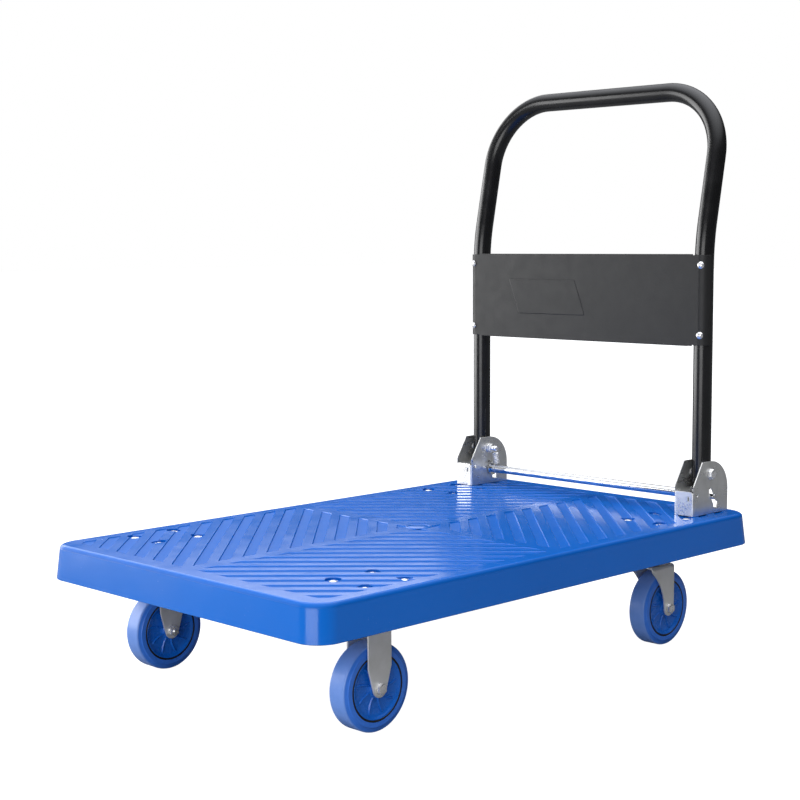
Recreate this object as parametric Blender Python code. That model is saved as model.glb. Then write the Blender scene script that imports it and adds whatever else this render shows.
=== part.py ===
"""Folding platform cart: moulded deck on four casters, with a fold-down push handle.

Metres. X runs along the deck with the handle at +X, Y across it, Z up from the floor.
"""

import math

import bmesh
import bpy
from mathutils import Matrix, Vector

# Deck: a hollow moulding with a ribbed underside and a grooved top.
DECK_LENGTH = 0.900
DECK_WIDTH = 0.560
DECK_DEPTH = 0.048
DECK_CORNER_RADIUS = 0.034
RIM_DROP = 0.006
RIM_INSET = 0.0037
TOP_INSET = 0.0100
SKIRT_WALL = 0.0050
SKIRT_DRAFT = 0.0012
TOP_THICKNESS = 0.0055
RIB_THICKNESS = 0.0036
RIB_CLEARANCE = 0.0080
CELLS_LONG = 6
CELLS_WIDE = 4
BOSS_RADIUS = 0.0130

# Tread: grooves that form nested diamonds round the centre of the deck.
GROOVE_PITCH = 0.0410
GROOVE_WIDTH = 0.0205
GROOVE_FIRST = 0.0340
GROOVE_DEPTH = 0.0015
TREAD_MARGIN_LONG = 0.0340
TREAD_MARGIN_WIDE = 0.0265
CENTRE_BAND = 0.0210

# Casters: 112 mm wheels, fixed at the front and swivelling at the handle end.
WHEEL_RADIUS = 0.0560
TYRE_DEPTH = 0.0131
TYRE_HALF = 0.0150
TREAD_CHAMFER = 0.0042
TREAD_DROP = 0.0014
SHOULDER_DROP = 0.0060
RING_THICKNESS = 0.0016
RING_PROUD = 0.0002
HUB_BOSS_RADIUS = 0.0125
HUB_RIM_WIDTH = 0.0032
HUB_SLOPE = 0.0018
HUB_RECESS = 0.0042
WHEEL_SIDES = 28
WHEEL_INSET = 0.0685
FRONT_AXLE_SETBACK = 0.1470
REAR_AXLE_SETBACK = 0.1500
SWIVEL_TRAIL = 0.0135
WHEEL_HEADROOM = 0.0080
FORK_SIDE_GAP = 0.0020
FORK_SHEET = 0.0025
FORK_BEND = 0.0045
FORK_WIDTH = 0.0395
FORK_TIP_RADIUS = 0.0115
FORK_SHOULDER_RISE = 0.0270
SWIVEL_FORK_FRONT = 0.0285
SWIVEL_FORK_BACK = 0.0255
FORK_CROWN_DEPTH = 0.0075
FORK_WAIST_DEPTH = 0.0305
RACE_HEIGHT = 0.0231
RACE_RADIUS = 0.0240
KINGPIN_RADIUS = 0.0060
KINGPIN_HEAD_RADIUS = 0.0092
KINGPIN_HEAD_HEIGHT = 0.0045
AXLE_RADIUS = 0.0040
BUSH_RADIUS = 0.0062
HEX_FLATS = 0.0130
HEX_HEAD_HEIGHT = 0.0050
NUT_HEIGHT = 0.0065
BOLT_TAIL = 0.0020
PLATE_LENGTH = 0.0960
PLATE_WIDTH = 0.0840
PLATE_SHEET = 0.0035
PLATE_CORNER = 0.0100
PLATE_SETBACK = 0.1510
PLATE_INSET = 0.0720
BOLT_SPAN_X = 0.0676
BOLT_SPAN_Y = 0.0572
BOLT_HOLE_RADIUS = 0.0042
BOLT_RECESS_RADIUS = 0.0105
BOLT_RECESS_DEPTH = 0.0032

# Handle: one bent tube with a sheet panel across it. Rises are above the deck.
POST_INSET = 0.0545
PIVOT_SETBACK = 0.0635
PIVOT_RISE = 0.0610
TUBE_RADIUS = 0.0147
TUBE_WALL = 0.0015
TUBE_SIDES = 12
FOOT_RADIUS = 0.0282
FOOT_MARGIN = 0.0007
FOOT_EDGE = 0.0005
FOOT_PLUG_LENGTH = 0.0140
STRAIGHT_RISE = 0.3750
LEAN_ANGLE = math.radians(11.7)
LEAN_BEND_RADIUS = 0.340
GRIP_CORNER_RADIUS = 0.1036
GRIP_RISE = 0.6434
PANEL_RISE = 0.2550
PANEL_HEIGHT = 0.1385
PANEL_SHEET = 0.0012
PANEL_LIP = 0.0120
PANEL_WRAP = math.radians(82)
PANEL_SCREW_INSET = 0.0165
PANEL_SCREW_ANGLE = math.radians(16)
SCREW_RADIUS = 0.0020
SCREW_HEAD_RADIUS = 0.0052
SCREW_HEAD_HEIGHT = 0.0026
SCREW_DEPTH = 0.0050

# Brackets: bent sheet channels that carry the handle's pivots and the lock rod.
BRACKET_SHEET = 0.0020
BRACKET_BEND = 0.0035
BRACKET_SIDE_GAP = 0.0010
BRACKET_HALF_LENGTH = 0.0455
BRACKET_FRONT_RISE = 0.0434
BRACKET_SLOPE_X = 0.0222
BRACKET_TOP_RISE = 0.0805
BRACKET_FLOOR_SETBACK = 0.0060
FRONT_WALL_RISE = 0.0372
PIVOT_BOLT_RADIUS = 0.0040
PIVOT_HEAD_HEIGHT = 0.0048
PIVOT_BOLT_TAIL = 0.0175
SMALL_HOLE_RADIUS = 0.0024
SMALL_HOLE_X = -0.0356
SMALL_HOLE_RISE = 0.0318
BRACKET_BOLT_RADIUS = 0.0040
BRACKET_BOLT_HEAD_RADIUS = 0.0075
BRACKET_BOLT_HEAD_HEIGHT = 0.0040
BRACKET_BOLT_STEP = 0.0290

# Lock rod: it slides in slanted slots, and two springs pull it up to the handle's feet.
ROD_RADIUS = 0.0070
ROD_PIN_RADIUS = 0.0040
ROD_PIN_PROUD = 0.0040
ROD_END_GAP = 0.0010
ROD_X = 0.0055
ROD_FOOT_GAP = 0.0006
ROD_WASHER_WIDTH = 0.0042
ROD_WASHER_SHEET = 0.0018
SLOT_TILT = math.radians(32)
SLOT_UP = 0.0110
SLOT_DOWN = 0.0150
SLOT_POCKET = 0.0030
SPRING_RADIUS = 0.0048
SPRING_END_GAP = 0.0010
SPRING_OFFSET = 0.0125

# Fits: the gap between pieces that touch, and the play of pieces that move.
TOUCH = 0.0003
RUN = 0.0004
HOLE_PLAY = 0.0004

# Heights, built up from the floor through the casters.
AXLE_HEIGHT = WHEEL_RADIUS
CROWN_TOP = 2 * WHEEL_RADIUS + WHEEL_HEADROOM + FORK_SHEET
PLATE_BOTTOM = CROWN_TOP + RACE_HEIGHT + 2 * TOUCH
PLATE_TOP = PLATE_BOTTOM + PLATE_SHEET
RIB_FOOT = PLATE_TOP + TOUCH
SKIRT_BOTTOM = RIB_FOOT - RIB_CLEARANCE
DECK_TOP = SKIRT_BOTTOM + DECK_DEPTH
RIM_HEIGHT = DECK_TOP - RIM_DROP
UNDERSIDE_TOP = DECK_TOP - TOP_THICKNESS
BRACKET_BASE = DECK_TOP + TOUCH
BRACKET_TOP = DECK_TOP + BRACKET_TOP_RISE
PIVOT_HEIGHT = DECK_TOP + PIVOT_RISE
ROD_REACH = FOOT_RADIUS + ROD_FOOT_GAP + ROD_RADIUS
ROD_HEIGHT = PIVOT_HEIGHT - math.sqrt(ROD_REACH ** 2 - ROD_X ** 2)
PANEL_BOTTOM = DECK_TOP + PANEL_RISE
PANEL_TOP = PANEL_BOTTOM + PANEL_HEIGHT

# Places along and across the deck.
FRONT_AXLE_X = FRONT_AXLE_SETBACK - DECK_LENGTH / 2
REAR_AXLE_X = DECK_LENGTH / 2 - REAR_AXLE_SETBACK
SWIVEL_X = REAR_AXLE_X - SWIVEL_TRAIL
PLATE_X = DECK_LENGTH / 2 - PLATE_SETBACK
PLATE_Y = DECK_WIDTH / 2 - PLATE_INSET
WHEEL_Y = DECK_WIDTH / 2 - WHEEL_INSET
PIVOT_X = DECK_LENGTH / 2 - PIVOT_SETBACK
POST_Y = DECK_WIDTH / 2 - POST_INSET
TREAD_HALF_LENGTH = DECK_LENGTH / 2 - TREAD_MARGIN_LONG
TREAD_HALF_WIDTH = DECK_WIDTH / 2 - TREAD_MARGIN_WIDE

# Sizes that follow the piece they fit.
TYRE_SEAT_RADIUS = WHEEL_RADIUS - TYRE_DEPTH
HUB_HALF = TYRE_HALF + RING_PROUD
FORK_INNER_HALF = HUB_HALF + FORK_SIDE_GAP
FORK_OUTER_HALF = FORK_INNER_HALF + FORK_SHEET
CHEEK_INNER = TUBE_RADIUS + BRACKET_SIDE_GAP
CHEEK_OUTER = CHEEK_INNER + BRACKET_SHEET
FOOT_RIM_RADIUS = TUBE_RADIUS - FOOT_MARGIN
FOOT_COLLAR = math.sqrt(FOOT_RADIUS ** 2 - FOOT_RIM_RADIUS ** 2) - FOOT_EDGE
SCREW_HOLE_RADIUS = SCREW_RADIUS + HOLE_PLAY
GROOVE_COUNT = math.ceil((TREAD_HALF_LENGTH + TREAD_HALF_WIDTH - GROOVE_FIRST) / GROOVE_PITCH)
SIDES = (("left", 1), ("right", -1))

# How far cutters run past what they cut, and half their width right across a piece.
CUT_MARGIN = 0.0020
CUT_REACH = 0.0500

TO_Y_AXIS = Matrix.Rotation(math.radians(-90), 4, "X")


# ---------------------------------------------------------------- shared tools


def clear_scene():
    for obj in list(bpy.data.objects):
        bpy.data.objects.remove(obj, do_unlink=True)


def make_material(name, colour, roughness, metallic=0.0):
    material = bpy.data.materials.new(name)
    material.use_nodes = True
    shader = material.node_tree.nodes["Principled BSDF"]
    shader.inputs["Base Color"].default_value = (*colour, 1.0)
    shader.inputs["Roughness"].default_value = roughness
    shader.inputs["Metallic"].default_value = metallic
    material.diffuse_color = (*colour, 1.0)
    return material


def make_object(name, bm, material, location=(0, 0, 0), parent=None):
    """Turn a bmesh into a named object, shaded smooth with sharp corners kept."""
    bmesh.ops.recalc_face_normals(bm, faces=bm.faces)
    mesh = bpy.data.meshes.new(name)
    bm.to_mesh(mesh)
    bm.free()
    mesh.materials.append(material)
    mesh.shade_smooth()
    mesh.set_sharp_from_angle(angle=math.radians(32))
    obj = bpy.data.objects.new(name, mesh)
    obj.location = location
    obj.parent = parent
    bpy.context.scene.collection.objects.link(obj)
    return obj


def make_tool(name, bm, location=(0, 0, 0), parent=None):
    """A cutter or an added shape that only a Boolean uses."""
    bmesh.ops.recalc_face_normals(bm, faces=bm.faces)
    mesh = bpy.data.meshes.new(name)
    bm.to_mesh(mesh)
    bm.free()
    obj = bpy.data.objects.new(name, mesh)
    obj.location = location
    obj.parent = parent
    obj.hide_render = True
    obj.display_type = "WIRE"
    bpy.context.scene.collection.objects.link(obj)
    return obj


def combine(obj, tool, operation="DIFFERENCE"):
    modifier = obj.modifiers.new(tool.name, "BOOLEAN")
    modifier.operation = operation
    modifier.solver = "EXACT"
    modifier.object = tool


def make_empty(name, location, parent=None):
    empty = bpy.data.objects.new(name, None)
    empty.empty_display_size = 0.03
    empty.location = location
    empty.parent = parent
    bpy.context.scene.collection.objects.link(empty)
    return empty


def add_box(bm, x_range, y_range, z_range):
    size = Vector((x_range[1] - x_range[0], y_range[1] - y_range[0], z_range[1] - z_range[0]))
    centre = Vector((sum(x_range), sum(y_range), sum(z_range))) / 2
    matrix = Matrix.Translation(centre) @ Matrix.Diagonal((*size, 1.0))
    return bmesh.ops.create_cube(bm, size=1.0, matrix=matrix)["verts"]


def add_cylinder(bm, radius, z_range, centre=(0, 0), segments=20, turn=Matrix()):
    height = z_range[1] - z_range[0]
    place = Matrix.Translation((centre[0], centre[1], sum(z_range) / 2))
    bmesh.ops.create_cone(
        bm, cap_ends=True, segments=segments, radius1=radius, radius2=radius,
        depth=height, matrix=turn @ place,
    )


def lathe(bm, profile, segments, closed, turn=Matrix()):
    """Spin (radius, height) points round Z, then turn the result."""
    verts = [bm.verts.new((radius, 0, height)) for radius, height in profile]
    pairs = list(zip(verts, verts[1:]))
    if closed:
        pairs.append((verts[-1], verts[0]))
    edges = [bm.edges.new(pair) for pair in pairs]
    bmesh.ops.spin(
        bm, geom=verts + edges, cent=(0, 0, 0), axis=(0, 0, 1),
        angle=math.tau, steps=segments, use_merge=True,
    )
    bmesh.ops.remove_doubles(bm, verts=bm.verts, dist=0.00001)
    bmesh.ops.transform(bm, matrix=turn, verts=bm.verts)


def prism(bm, outline, depth_range, turn=Matrix()):
    """Extrude a flat outline of (u, v) points through a range of depths along Z."""
    verts = [bm.verts.new((u, v, depth_range[0])) for u, v in outline]
    face = bm.faces.new(verts)
    sides = bmesh.ops.extrude_face_region(bm, geom=[face])["geom"]
    moved = [item for item in sides if isinstance(item, bmesh.types.BMVert)]
    depth = Vector((0, 0, depth_range[1] - depth_range[0]))
    bmesh.ops.translate(bm, vec=depth, verts=moved)
    bmesh.ops.transform(bm, matrix=turn, verts=verts + moved)


def arc(centre, radius, start, end, steps):
    """Points on an arc; the angles are in degrees."""
    points = []
    for step in range(steps + 1):
        angle = math.radians(start + (end - start) * step / steps)
        points.append((centre[0] + radius * math.cos(angle), centre[1] + radius * math.sin(angle)))
    return points


def hexagon(across_flats):
    radius = across_flats / math.sqrt(3)
    return arc((0, 0), radius, 0, 300, 5)


# A prism drawn in (x, z) and extruded along Y: u is X, v is Z, depth is -Y.
SIDE_VIEW = Matrix.Rotation(math.radians(90), 4, "X")


# ------------------------------------------------------------------------ deck


def rounded_plate(bm, length, width, radius, height):
    """One flat rounded-rectangle face at a height."""
    matrix = Matrix.Translation((0, 0, height)) @ Matrix.Diagonal((length, width, 1, 1))
    corners = bmesh.ops.create_grid(bm, x_segments=1, y_segments=1, size=0.5, matrix=matrix)["verts"]
    bmesh.ops.bevel(
        bm, geom=corners, offset=radius, offset_type="OFFSET", segments=6,
        profile=0.5, affect="VERTICES",
    )
    return [face for face in bm.faces if abs(face.calc_center_median().z - height) < 1e-6]


def lift(bm, faces, rise, inset_before, inset_after, first=False):
    """Extrude a deck-sized face upward and draw its edge in by the change of inset."""
    result = bmesh.ops.extrude_face_region(bm, geom=faces)["geom"]
    if not first:
        bmesh.ops.delete(bm, geom=faces, context="FACES_ONLY")
    verts = [item for item in result if isinstance(item, bmesh.types.BMVert)]
    grow_x = (DECK_LENGTH - 2 * inset_after) / (DECK_LENGTH - 2 * inset_before)
    grow_y = (DECK_WIDTH - 2 * inset_after) / (DECK_WIDTH - 2 * inset_before)
    bmesh.ops.scale(bm, vec=(grow_x, grow_y, 1), verts=verts)
    bmesh.ops.translate(bm, vec=(0, 0, rise), verts=verts)
    return [item for item in result if isinstance(item, bmesh.types.BMFace)]


def deck_blank():
    """The deck's outer shape as a solid: flared skirt, rounded rim and flat top."""
    bm = bmesh.new()
    face = rounded_plate(bm, DECK_LENGTH, DECK_WIDTH, DECK_CORNER_RADIUS, SKIRT_BOTTOM)
    face = lift(bm, face, RIM_HEIGHT - SKIRT_BOTTOM, 0, RIM_INSET, first=True)
    rise = DECK_TOP - RIM_HEIGHT
    run = TOP_INSET - RIM_INSET
    before = RIM_INSET
    for angle in (30, 60, 90):
        turn = math.radians(angle)
        after = RIM_INSET + run * (1 - math.cos(turn))
        step = rise * (math.sin(turn) - math.sin(turn - math.radians(30)))
        face = lift(bm, face, step, before, after)
        before = after
    return bm


def underside_recess():
    """Space under the ribs, inside the skirt."""
    bm = bmesh.new()
    length = DECK_LENGTH - 2 * SKIRT_WALL
    width = DECK_WIDTH - 2 * SKIRT_WALL
    floor = rounded_plate(bm, length, width, DECK_CORNER_RADIUS - SKIRT_WALL, SKIRT_BOTTOM - CUT_MARGIN)
    lift(bm, floor, RIB_CLEARANCE + CUT_MARGIN, 0, 0, first=True)
    return bm


def underside_cells():
    """The pockets between the ribs; they widen a little towards the floor, as moulding needs."""
    bm = bmesh.new()
    inner_length = DECK_LENGTH - 2 * (SKIRT_WALL + RIM_INSET + SKIRT_DRAFT)
    inner_width = DECK_WIDTH - 2 * (SKIRT_WALL + RIM_INSET + SKIRT_DRAFT)
    pitch_x = (inner_length + RIB_THICKNESS) / CELLS_LONG
    pitch_y = (inner_width + RIB_THICKNESS) / CELLS_WIDE
    corner = DECK_CORNER_RADIUS / 4
    for column in range(CELLS_LONG):
        for row in range(CELLS_WIDE):
            x_start = -inner_length / 2 + column * pitch_x
            y_start = -inner_width / 2 + row * pitch_y
            x_range = [x_start, x_start + pitch_x - RIB_THICKNESS]
            y_range = [y_start, y_start + pitch_y - RIB_THICKNESS]
            if column in (0, CELLS_LONG - 1) and row in (0, CELLS_WIDE - 1):
                x_range[0 if column == 0 else 1] += corner if column == 0 else -corner
                y_range[0 if row == 0 else 1] += corner if row == 0 else -corner
            add_box(bm, x_range, y_range, (RIB_FOOT - CUT_MARGIN, UNDERSIDE_TOP))
    return bm


def tread_grooves():
    """Slanted grooves in each quarter of the top, cut off at the plain borders and bands."""
    bm = bmesh.new()
    near = CENTRE_BAND / 2
    reach_x = TREAD_HALF_LENGTH
    reach_y = TREAD_HALF_WIDTH
    depth_range = (DECK_TOP - GROOVE_DEPTH, DECK_TOP + CUT_MARGIN)
    for number in range(GROOVE_COUNT):
        inner = GROOVE_FIRST + number * GROOVE_PITCH - GROOVE_WIDTH / 2
        outer = inner + GROOVE_WIDTH
        outline = groove_outline(inner, outer, near, reach_x, reach_y)
        for side_x in (-1, 1):
            for side_y in (-1, 1):
                points = [(side_x * x, side_y * y) for x, y in outline]
                if len(points) > 2:
                    prism(bm, points, depth_range)
    return bm


def groove_outline(inner, outer, near, reach_x, reach_y):
    """The part of one diagonal stripe, inner < x + y < outer, inside a rectangle."""
    points = [(near, near), (reach_x, near), (reach_x, reach_y), (near, reach_y)]
    for limit, sign in ((inner, 1), (outer, -1)):
        kept = []
        for start, end in zip(points, points[1:] + points[:1]):
            from_line = sign * (start[0] + start[1] - limit)
            to_line = sign * (end[0] + end[1] - limit)
            if from_line >= 0:
                kept.append(start)
            if from_line * to_line < 0:
                share = from_line / (from_line - to_line)
                x = start[0] + share * (end[0] - start[0])
                y = start[1] + share * (end[1] - start[1])
                kept.append((x, y))
        points = kept
    return points


def caster_bolt_places():
    places = []
    for side_x in (-1, 1):
        for side_y in (-1, 1):
            for step_x in (-0.5, 0.5):
                for step_y in (-0.5, 0.5):
                    x = side_x * PLATE_X + step_x * BOLT_SPAN_X
                    y = side_y * PLATE_Y + step_y * BOLT_SPAN_Y
                    places.append((x, y))
    return places


def bracket_bolt_places():
    places = []
    for _, side in SIDES:
        for step in (-0.5, 0.5):
            places.append((PIVOT_X + step * BRACKET_BOLT_STEP, side * POST_Y))
    return places


def build_deck(plastic):
    deck = make_object("deck", deck_blank(), plastic)
    combine(deck, make_tool("cut_recess", underside_recess()))
    combine(deck, make_tool("cut_cells", underside_cells()))
    bosses = bmesh.new()
    for place in caster_bolt_places() + bracket_bolt_places():
        add_cylinder(bosses, BOSS_RADIUS, (RIB_FOOT, UNDERSIDE_TOP + CUT_MARGIN), place, 8)
    combine(deck, make_tool("add_bosses", bosses), "UNION")
    combine(deck, make_tool("cut_tread", tread_grooves()))
    recesses = bmesh.new()
    for place in caster_bolt_places():
        z_range = (DECK_TOP - BOLT_RECESS_DEPTH, DECK_TOP + CUT_MARGIN)
        add_cylinder(recesses, BOLT_RECESS_RADIUS, z_range, place, 12)
    combine(deck, make_tool("cut_bolt_recesses", recesses))
    holes = bmesh.new()
    for place in caster_bolt_places() + bracket_bolt_places():
        add_cylinder(holes, BOLT_HOLE_RADIUS, (SKIRT_BOTTOM, DECK_TOP + CUT_MARGIN), place, 8)
    combine(deck, make_tool("cut_bolt_holes", holes))


# ---------------------------------------------------------------------- wheels


def build_wheel(name, location, parent, looks):
    """Tyre, dark ring and hub, all centred on the axle, which lies along Y."""
    side_radius = WHEEL_RADIUS - SHOULDER_DROP
    edge_radius = WHEEL_RADIUS - TREAD_DROP
    tread_half = TYRE_HALF - TREAD_CHAMFER
    edge_half = TYRE_HALF - TREAD_CHAMFER * 0.6
    tyre_profile = [
        (TYRE_SEAT_RADIUS, -TYRE_HALF), (side_radius, -TYRE_HALF),
        (edge_radius, -edge_half), (WHEEL_RADIUS, -tread_half),
        (WHEEL_RADIUS, tread_half), (edge_radius, edge_half),
        (side_radius, TYRE_HALF), (TYRE_SEAT_RADIUS, TYRE_HALF),
    ]
    bm = bmesh.new()
    lathe(bm, tyre_profile, WHEEL_SIDES, True, TO_Y_AXIS)
    make_object(f"tyre_{name}", bm, looks["tyre"], location, parent)

    ring_outer = TYRE_SEAT_RADIUS - TOUCH
    ring_inner = ring_outer - RING_THICKNESS
    ring_half = TYRE_HALF + RING_PROUD
    ring_profile = [
        (ring_inner, -ring_half), (ring_outer, -ring_half),
        (ring_outer, ring_half), (ring_inner, ring_half),
    ]
    bm = bmesh.new()
    lathe(bm, ring_profile, WHEEL_SIDES, True, TO_Y_AXIS)
    make_object(f"wheel_ring_{name}", bm, looks["dark"], location, parent)

    rim = ring_inner - TOUCH
    bore = BUSH_RADIUS + RUN
    web = HUB_HALF - HUB_RECESS
    boss_foot = HUB_BOSS_RADIUS + HUB_SLOPE
    rim_lip = rim - HUB_RIM_WIDTH
    rim_foot = rim_lip - HUB_SLOPE
    hub_profile = [
        (bore, -HUB_HALF), (HUB_BOSS_RADIUS, -HUB_HALF), (boss_foot, -web), (rim_foot, -web),
        (rim_lip, -HUB_HALF), (rim, -HUB_HALF), (rim, HUB_HALF), (rim_lip, HUB_HALF),
        (rim_foot, web), (boss_foot, web), (HUB_BOSS_RADIUS, HUB_HALF), (bore, HUB_HALF),
    ]
    bm = bmesh.new()
    lathe(bm, hub_profile, WHEEL_SIDES, True, TO_Y_AXIS)
    make_object(f"hub_{name}", bm, looks["hub"], location, parent)


def build_axle(name, location, parent, outward, looks):
    """Bush between the fork legs, bolt through them and nut on the inner side."""
    turn = TO_Y_AXIS if outward > 0 else TO_Y_AXIS @ Matrix.Rotation(math.pi, 4, "X")
    bush_half = FORK_INNER_HALF - TOUCH
    bush_bore = AXLE_RADIUS + TOUCH
    bm = bmesh.new()
    bush_profile = [
        (bush_bore, -bush_half), (BUSH_RADIUS, -bush_half),
        (BUSH_RADIUS, bush_half), (bush_bore, bush_half),
    ]
    lathe(bm, bush_profile, 14, True, TO_Y_AXIS)
    make_object(f"axle_bush_{name}", bm, looks["zinc"], location, parent)

    face = FORK_OUTER_HALF + TOUCH
    tail = -face - NUT_HEIGHT - BOLT_TAIL
    bm = bmesh.new()
    prism(bm, hexagon(HEX_FLATS), (face, face + HEX_HEAD_HEIGHT), turn)
    bolt = make_object(f"axle_bolt_{name}", bm, looks["zinc"], location, parent)
    shank = bmesh.new()
    add_cylinder(shank, AXLE_RADIUS, (tail, face + HEX_HEAD_HEIGHT / 2), (0, 0), 12, turn)
    combine(bolt, make_tool(f"add_shank_{name}", shank, location, parent), "UNION")

    bm = bmesh.new()
    prism(bm, hexagon(HEX_FLATS), (-face - NUT_HEIGHT, -face), turn)
    nut = make_object(f"axle_nut_{name}", bm, looks["zinc"], location, parent)
    bore = bmesh.new()
    add_cylinder(bore, AXLE_RADIUS + TOUCH, (tail, 0), (0, 0), 12, turn)
    combine(nut, make_tool(f"cut_nut_{name}", bore, location, parent))


# ----------------------------------------------------------------------- forks


def channel(bm, x_range, top, bottom):
    """An upside-down U of bent sheet, seen along X, with legs down to the bottom."""
    inner = FORK_INNER_HALF
    outer = FORK_OUTER_HALF
    bend = FORK_BEND
    outline = [(-outer, bottom)]
    outline += arc((-outer + bend, top - bend), bend, 180, 90, 3)
    outline += arc((outer - bend, top - bend), bend, 90, 0, 3)
    outline += [(outer, bottom), (inner, bottom)]
    inside = bend - FORK_SHEET
    under = top - FORK_SHEET - inside
    outline += arc((inner - inside, under), inside, 0, 90, 3)
    outline += arc((-inner + inside, under), inside, 90, 180, 3)
    outline += [(-inner, bottom)]
    turn = Matrix(((0, 0, 1, 0), (1, 0, 0, 0), (0, 1, 0, 0), (0, 0, 0, 1)))
    prism(bm, outline, x_range, turn)


def curve_between(start, bend, end, steps):
    """A smooth run of points from start to end, pulled towards the bend point."""
    points = []
    for step in range(steps + 1):
        t = step / steps
        u = 1 - t
        x = u * u * start[0] + 2 * u * t * bend[0] + t * t * end[0]
        z = u * u * start[1] + 2 * u * t * bend[1] + t * t * end[1]
        points.append((x, z))
    return points


def build_fixed_fork(name, location, looks):
    """Pressed fork with its top plate; the origin is at the axle's middle."""
    plate_top = PLATE_TOP - AXLE_HEIGHT
    leg_top = plate_top - PLATE_SHEET / 2
    half = FORK_WIDTH / 2
    bm = bmesh.new()
    channel(bm, (-half, half), leg_top, -2 * FORK_TIP_RADIUS)
    fork = make_object(f"front_fork_{name}", bm, looks["zinc"], location)

    tip = FORK_TIP_RADIUS
    outline = [(-half, plate_top), (-half, FORK_SHOULDER_RISE)]
    outline += arc((0, 0), tip, 200, 340, 8)
    outline += [(half, FORK_SHOULDER_RISE), (half, plate_top)]
    silhouette = bmesh.new()
    prism(silhouette, outline, (-CUT_REACH, CUT_REACH), SIDE_VIEW)
    keep = make_tool(f"keep_front_fork_{name}", silhouette, location)
    combine(fork, keep, "INTERSECT")

    plate = bmesh.new()
    side = 1 if name == "left" else -1
    centre = (-PLATE_X - location[0], side * PLATE_Y - location[1])
    add_plate(plate, centre, plate_top)
    combine(fork, make_tool(f"add_front_plate_{name}", plate, location), "UNION")
    cuts = bmesh.new()
    add_plate_holes(cuts, centre, plate_top)
    add_cylinder(cuts, AXLE_RADIUS + TOUCH, (-CUT_REACH, CUT_REACH), (0, 0), 12, TO_Y_AXIS)
    combine(fork, make_tool(f"cut_front_fork_{name}", cuts, location))


def add_plate(bm, centre, top):
    x_range = (centre[0] - PLATE_LENGTH / 2, centre[0] + PLATE_LENGTH / 2)
    y_range = (centre[1] - PLATE_WIDTH / 2, centre[1] + PLATE_WIDTH / 2)
    add_box(bm, x_range, y_range, (top - PLATE_SHEET, top))
    upright = [edge for edge in bm.edges if abs(edge.verts[0].co.z - edge.verts[1].co.z) > TOUCH]
    bmesh.ops.bevel(
        bm, geom=upright, offset=PLATE_CORNER, offset_type="OFFSET", segments=3,
        profile=0.5, affect="EDGES",
    )


def add_plate_holes(bm, centre, top):
    for step_x in (-0.5, 0.5):
        for step_y in (-0.5, 0.5):
            place = (centre[0] + step_x * BOLT_SPAN_X, centre[1] + step_y * BOLT_SPAN_Y)
            add_cylinder(bm, BOLT_HOLE_RADIUS, (top - 3 * PLATE_SHEET, top + CUT_MARGIN), place, 12)


def build_swivel_plate(name, side, looks):
    """Top plate, bearing race and kingpin, all fixed to the deck."""
    location = (SWIVEL_X, side * WHEEL_Y, 0)
    centre = (PLATE_X - SWIVEL_X, side * PLATE_Y - location[1])
    bm = bmesh.new()
    add_plate(bm, centre, PLATE_TOP)
    plate = make_object(f"rear_plate_{name}", bm, looks["zinc"], location)
    cuts = bmesh.new()
    add_plate_holes(cuts, centre, PLATE_TOP)
    z_range = (PLATE_BOTTOM - CUT_MARGIN, PLATE_TOP + CUT_MARGIN)
    add_cylinder(cuts, KINGPIN_RADIUS + TOUCH, z_range, (0, 0), 16)
    combine(plate, make_tool(f"cut_rear_plate_{name}", cuts, location))

    bottom = CROWN_TOP + TOUCH
    top = PLATE_BOTTOM - TOUCH
    bore = KINGPIN_RADIUS + TOUCH
    waist = RACE_RADIUS - 0.17 * RACE_RADIUS
    race_profile = [
        (bore, bottom), (waist, bottom), (RACE_RADIUS, bottom + 0.2 * RACE_HEIGHT),
        (RACE_RADIUS, bottom + 0.5 * RACE_HEIGHT), (waist, bottom + 0.6 * RACE_HEIGHT),
        (RACE_RADIUS, top), (bore, top),
    ]
    bm = bmesh.new()
    lathe(bm, race_profile, 16, True)
    make_object(f"swivel_race_{name}", bm, looks["zinc"], location)

    head_top = CROWN_TOP - FORK_SHEET - TOUCH
    head_bottom = head_top - KINGPIN_HEAD_HEIGHT
    pin_profile = [
        (0, head_bottom), (0.85 * KINGPIN_HEAD_RADIUS, head_bottom),
        (KINGPIN_HEAD_RADIUS, head_top - 0.7 * KINGPIN_HEAD_HEIGHT), (KINGPIN_HEAD_RADIUS, head_top),
        (KINGPIN_RADIUS, head_top), (KINGPIN_RADIUS, PLATE_TOP), (0, PLATE_TOP),
    ]
    bm = bmesh.new()
    lathe(bm, pin_profile, 12, False)
    make_object(f"kingpin_{name}", bm, looks["zinc"], location)


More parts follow.
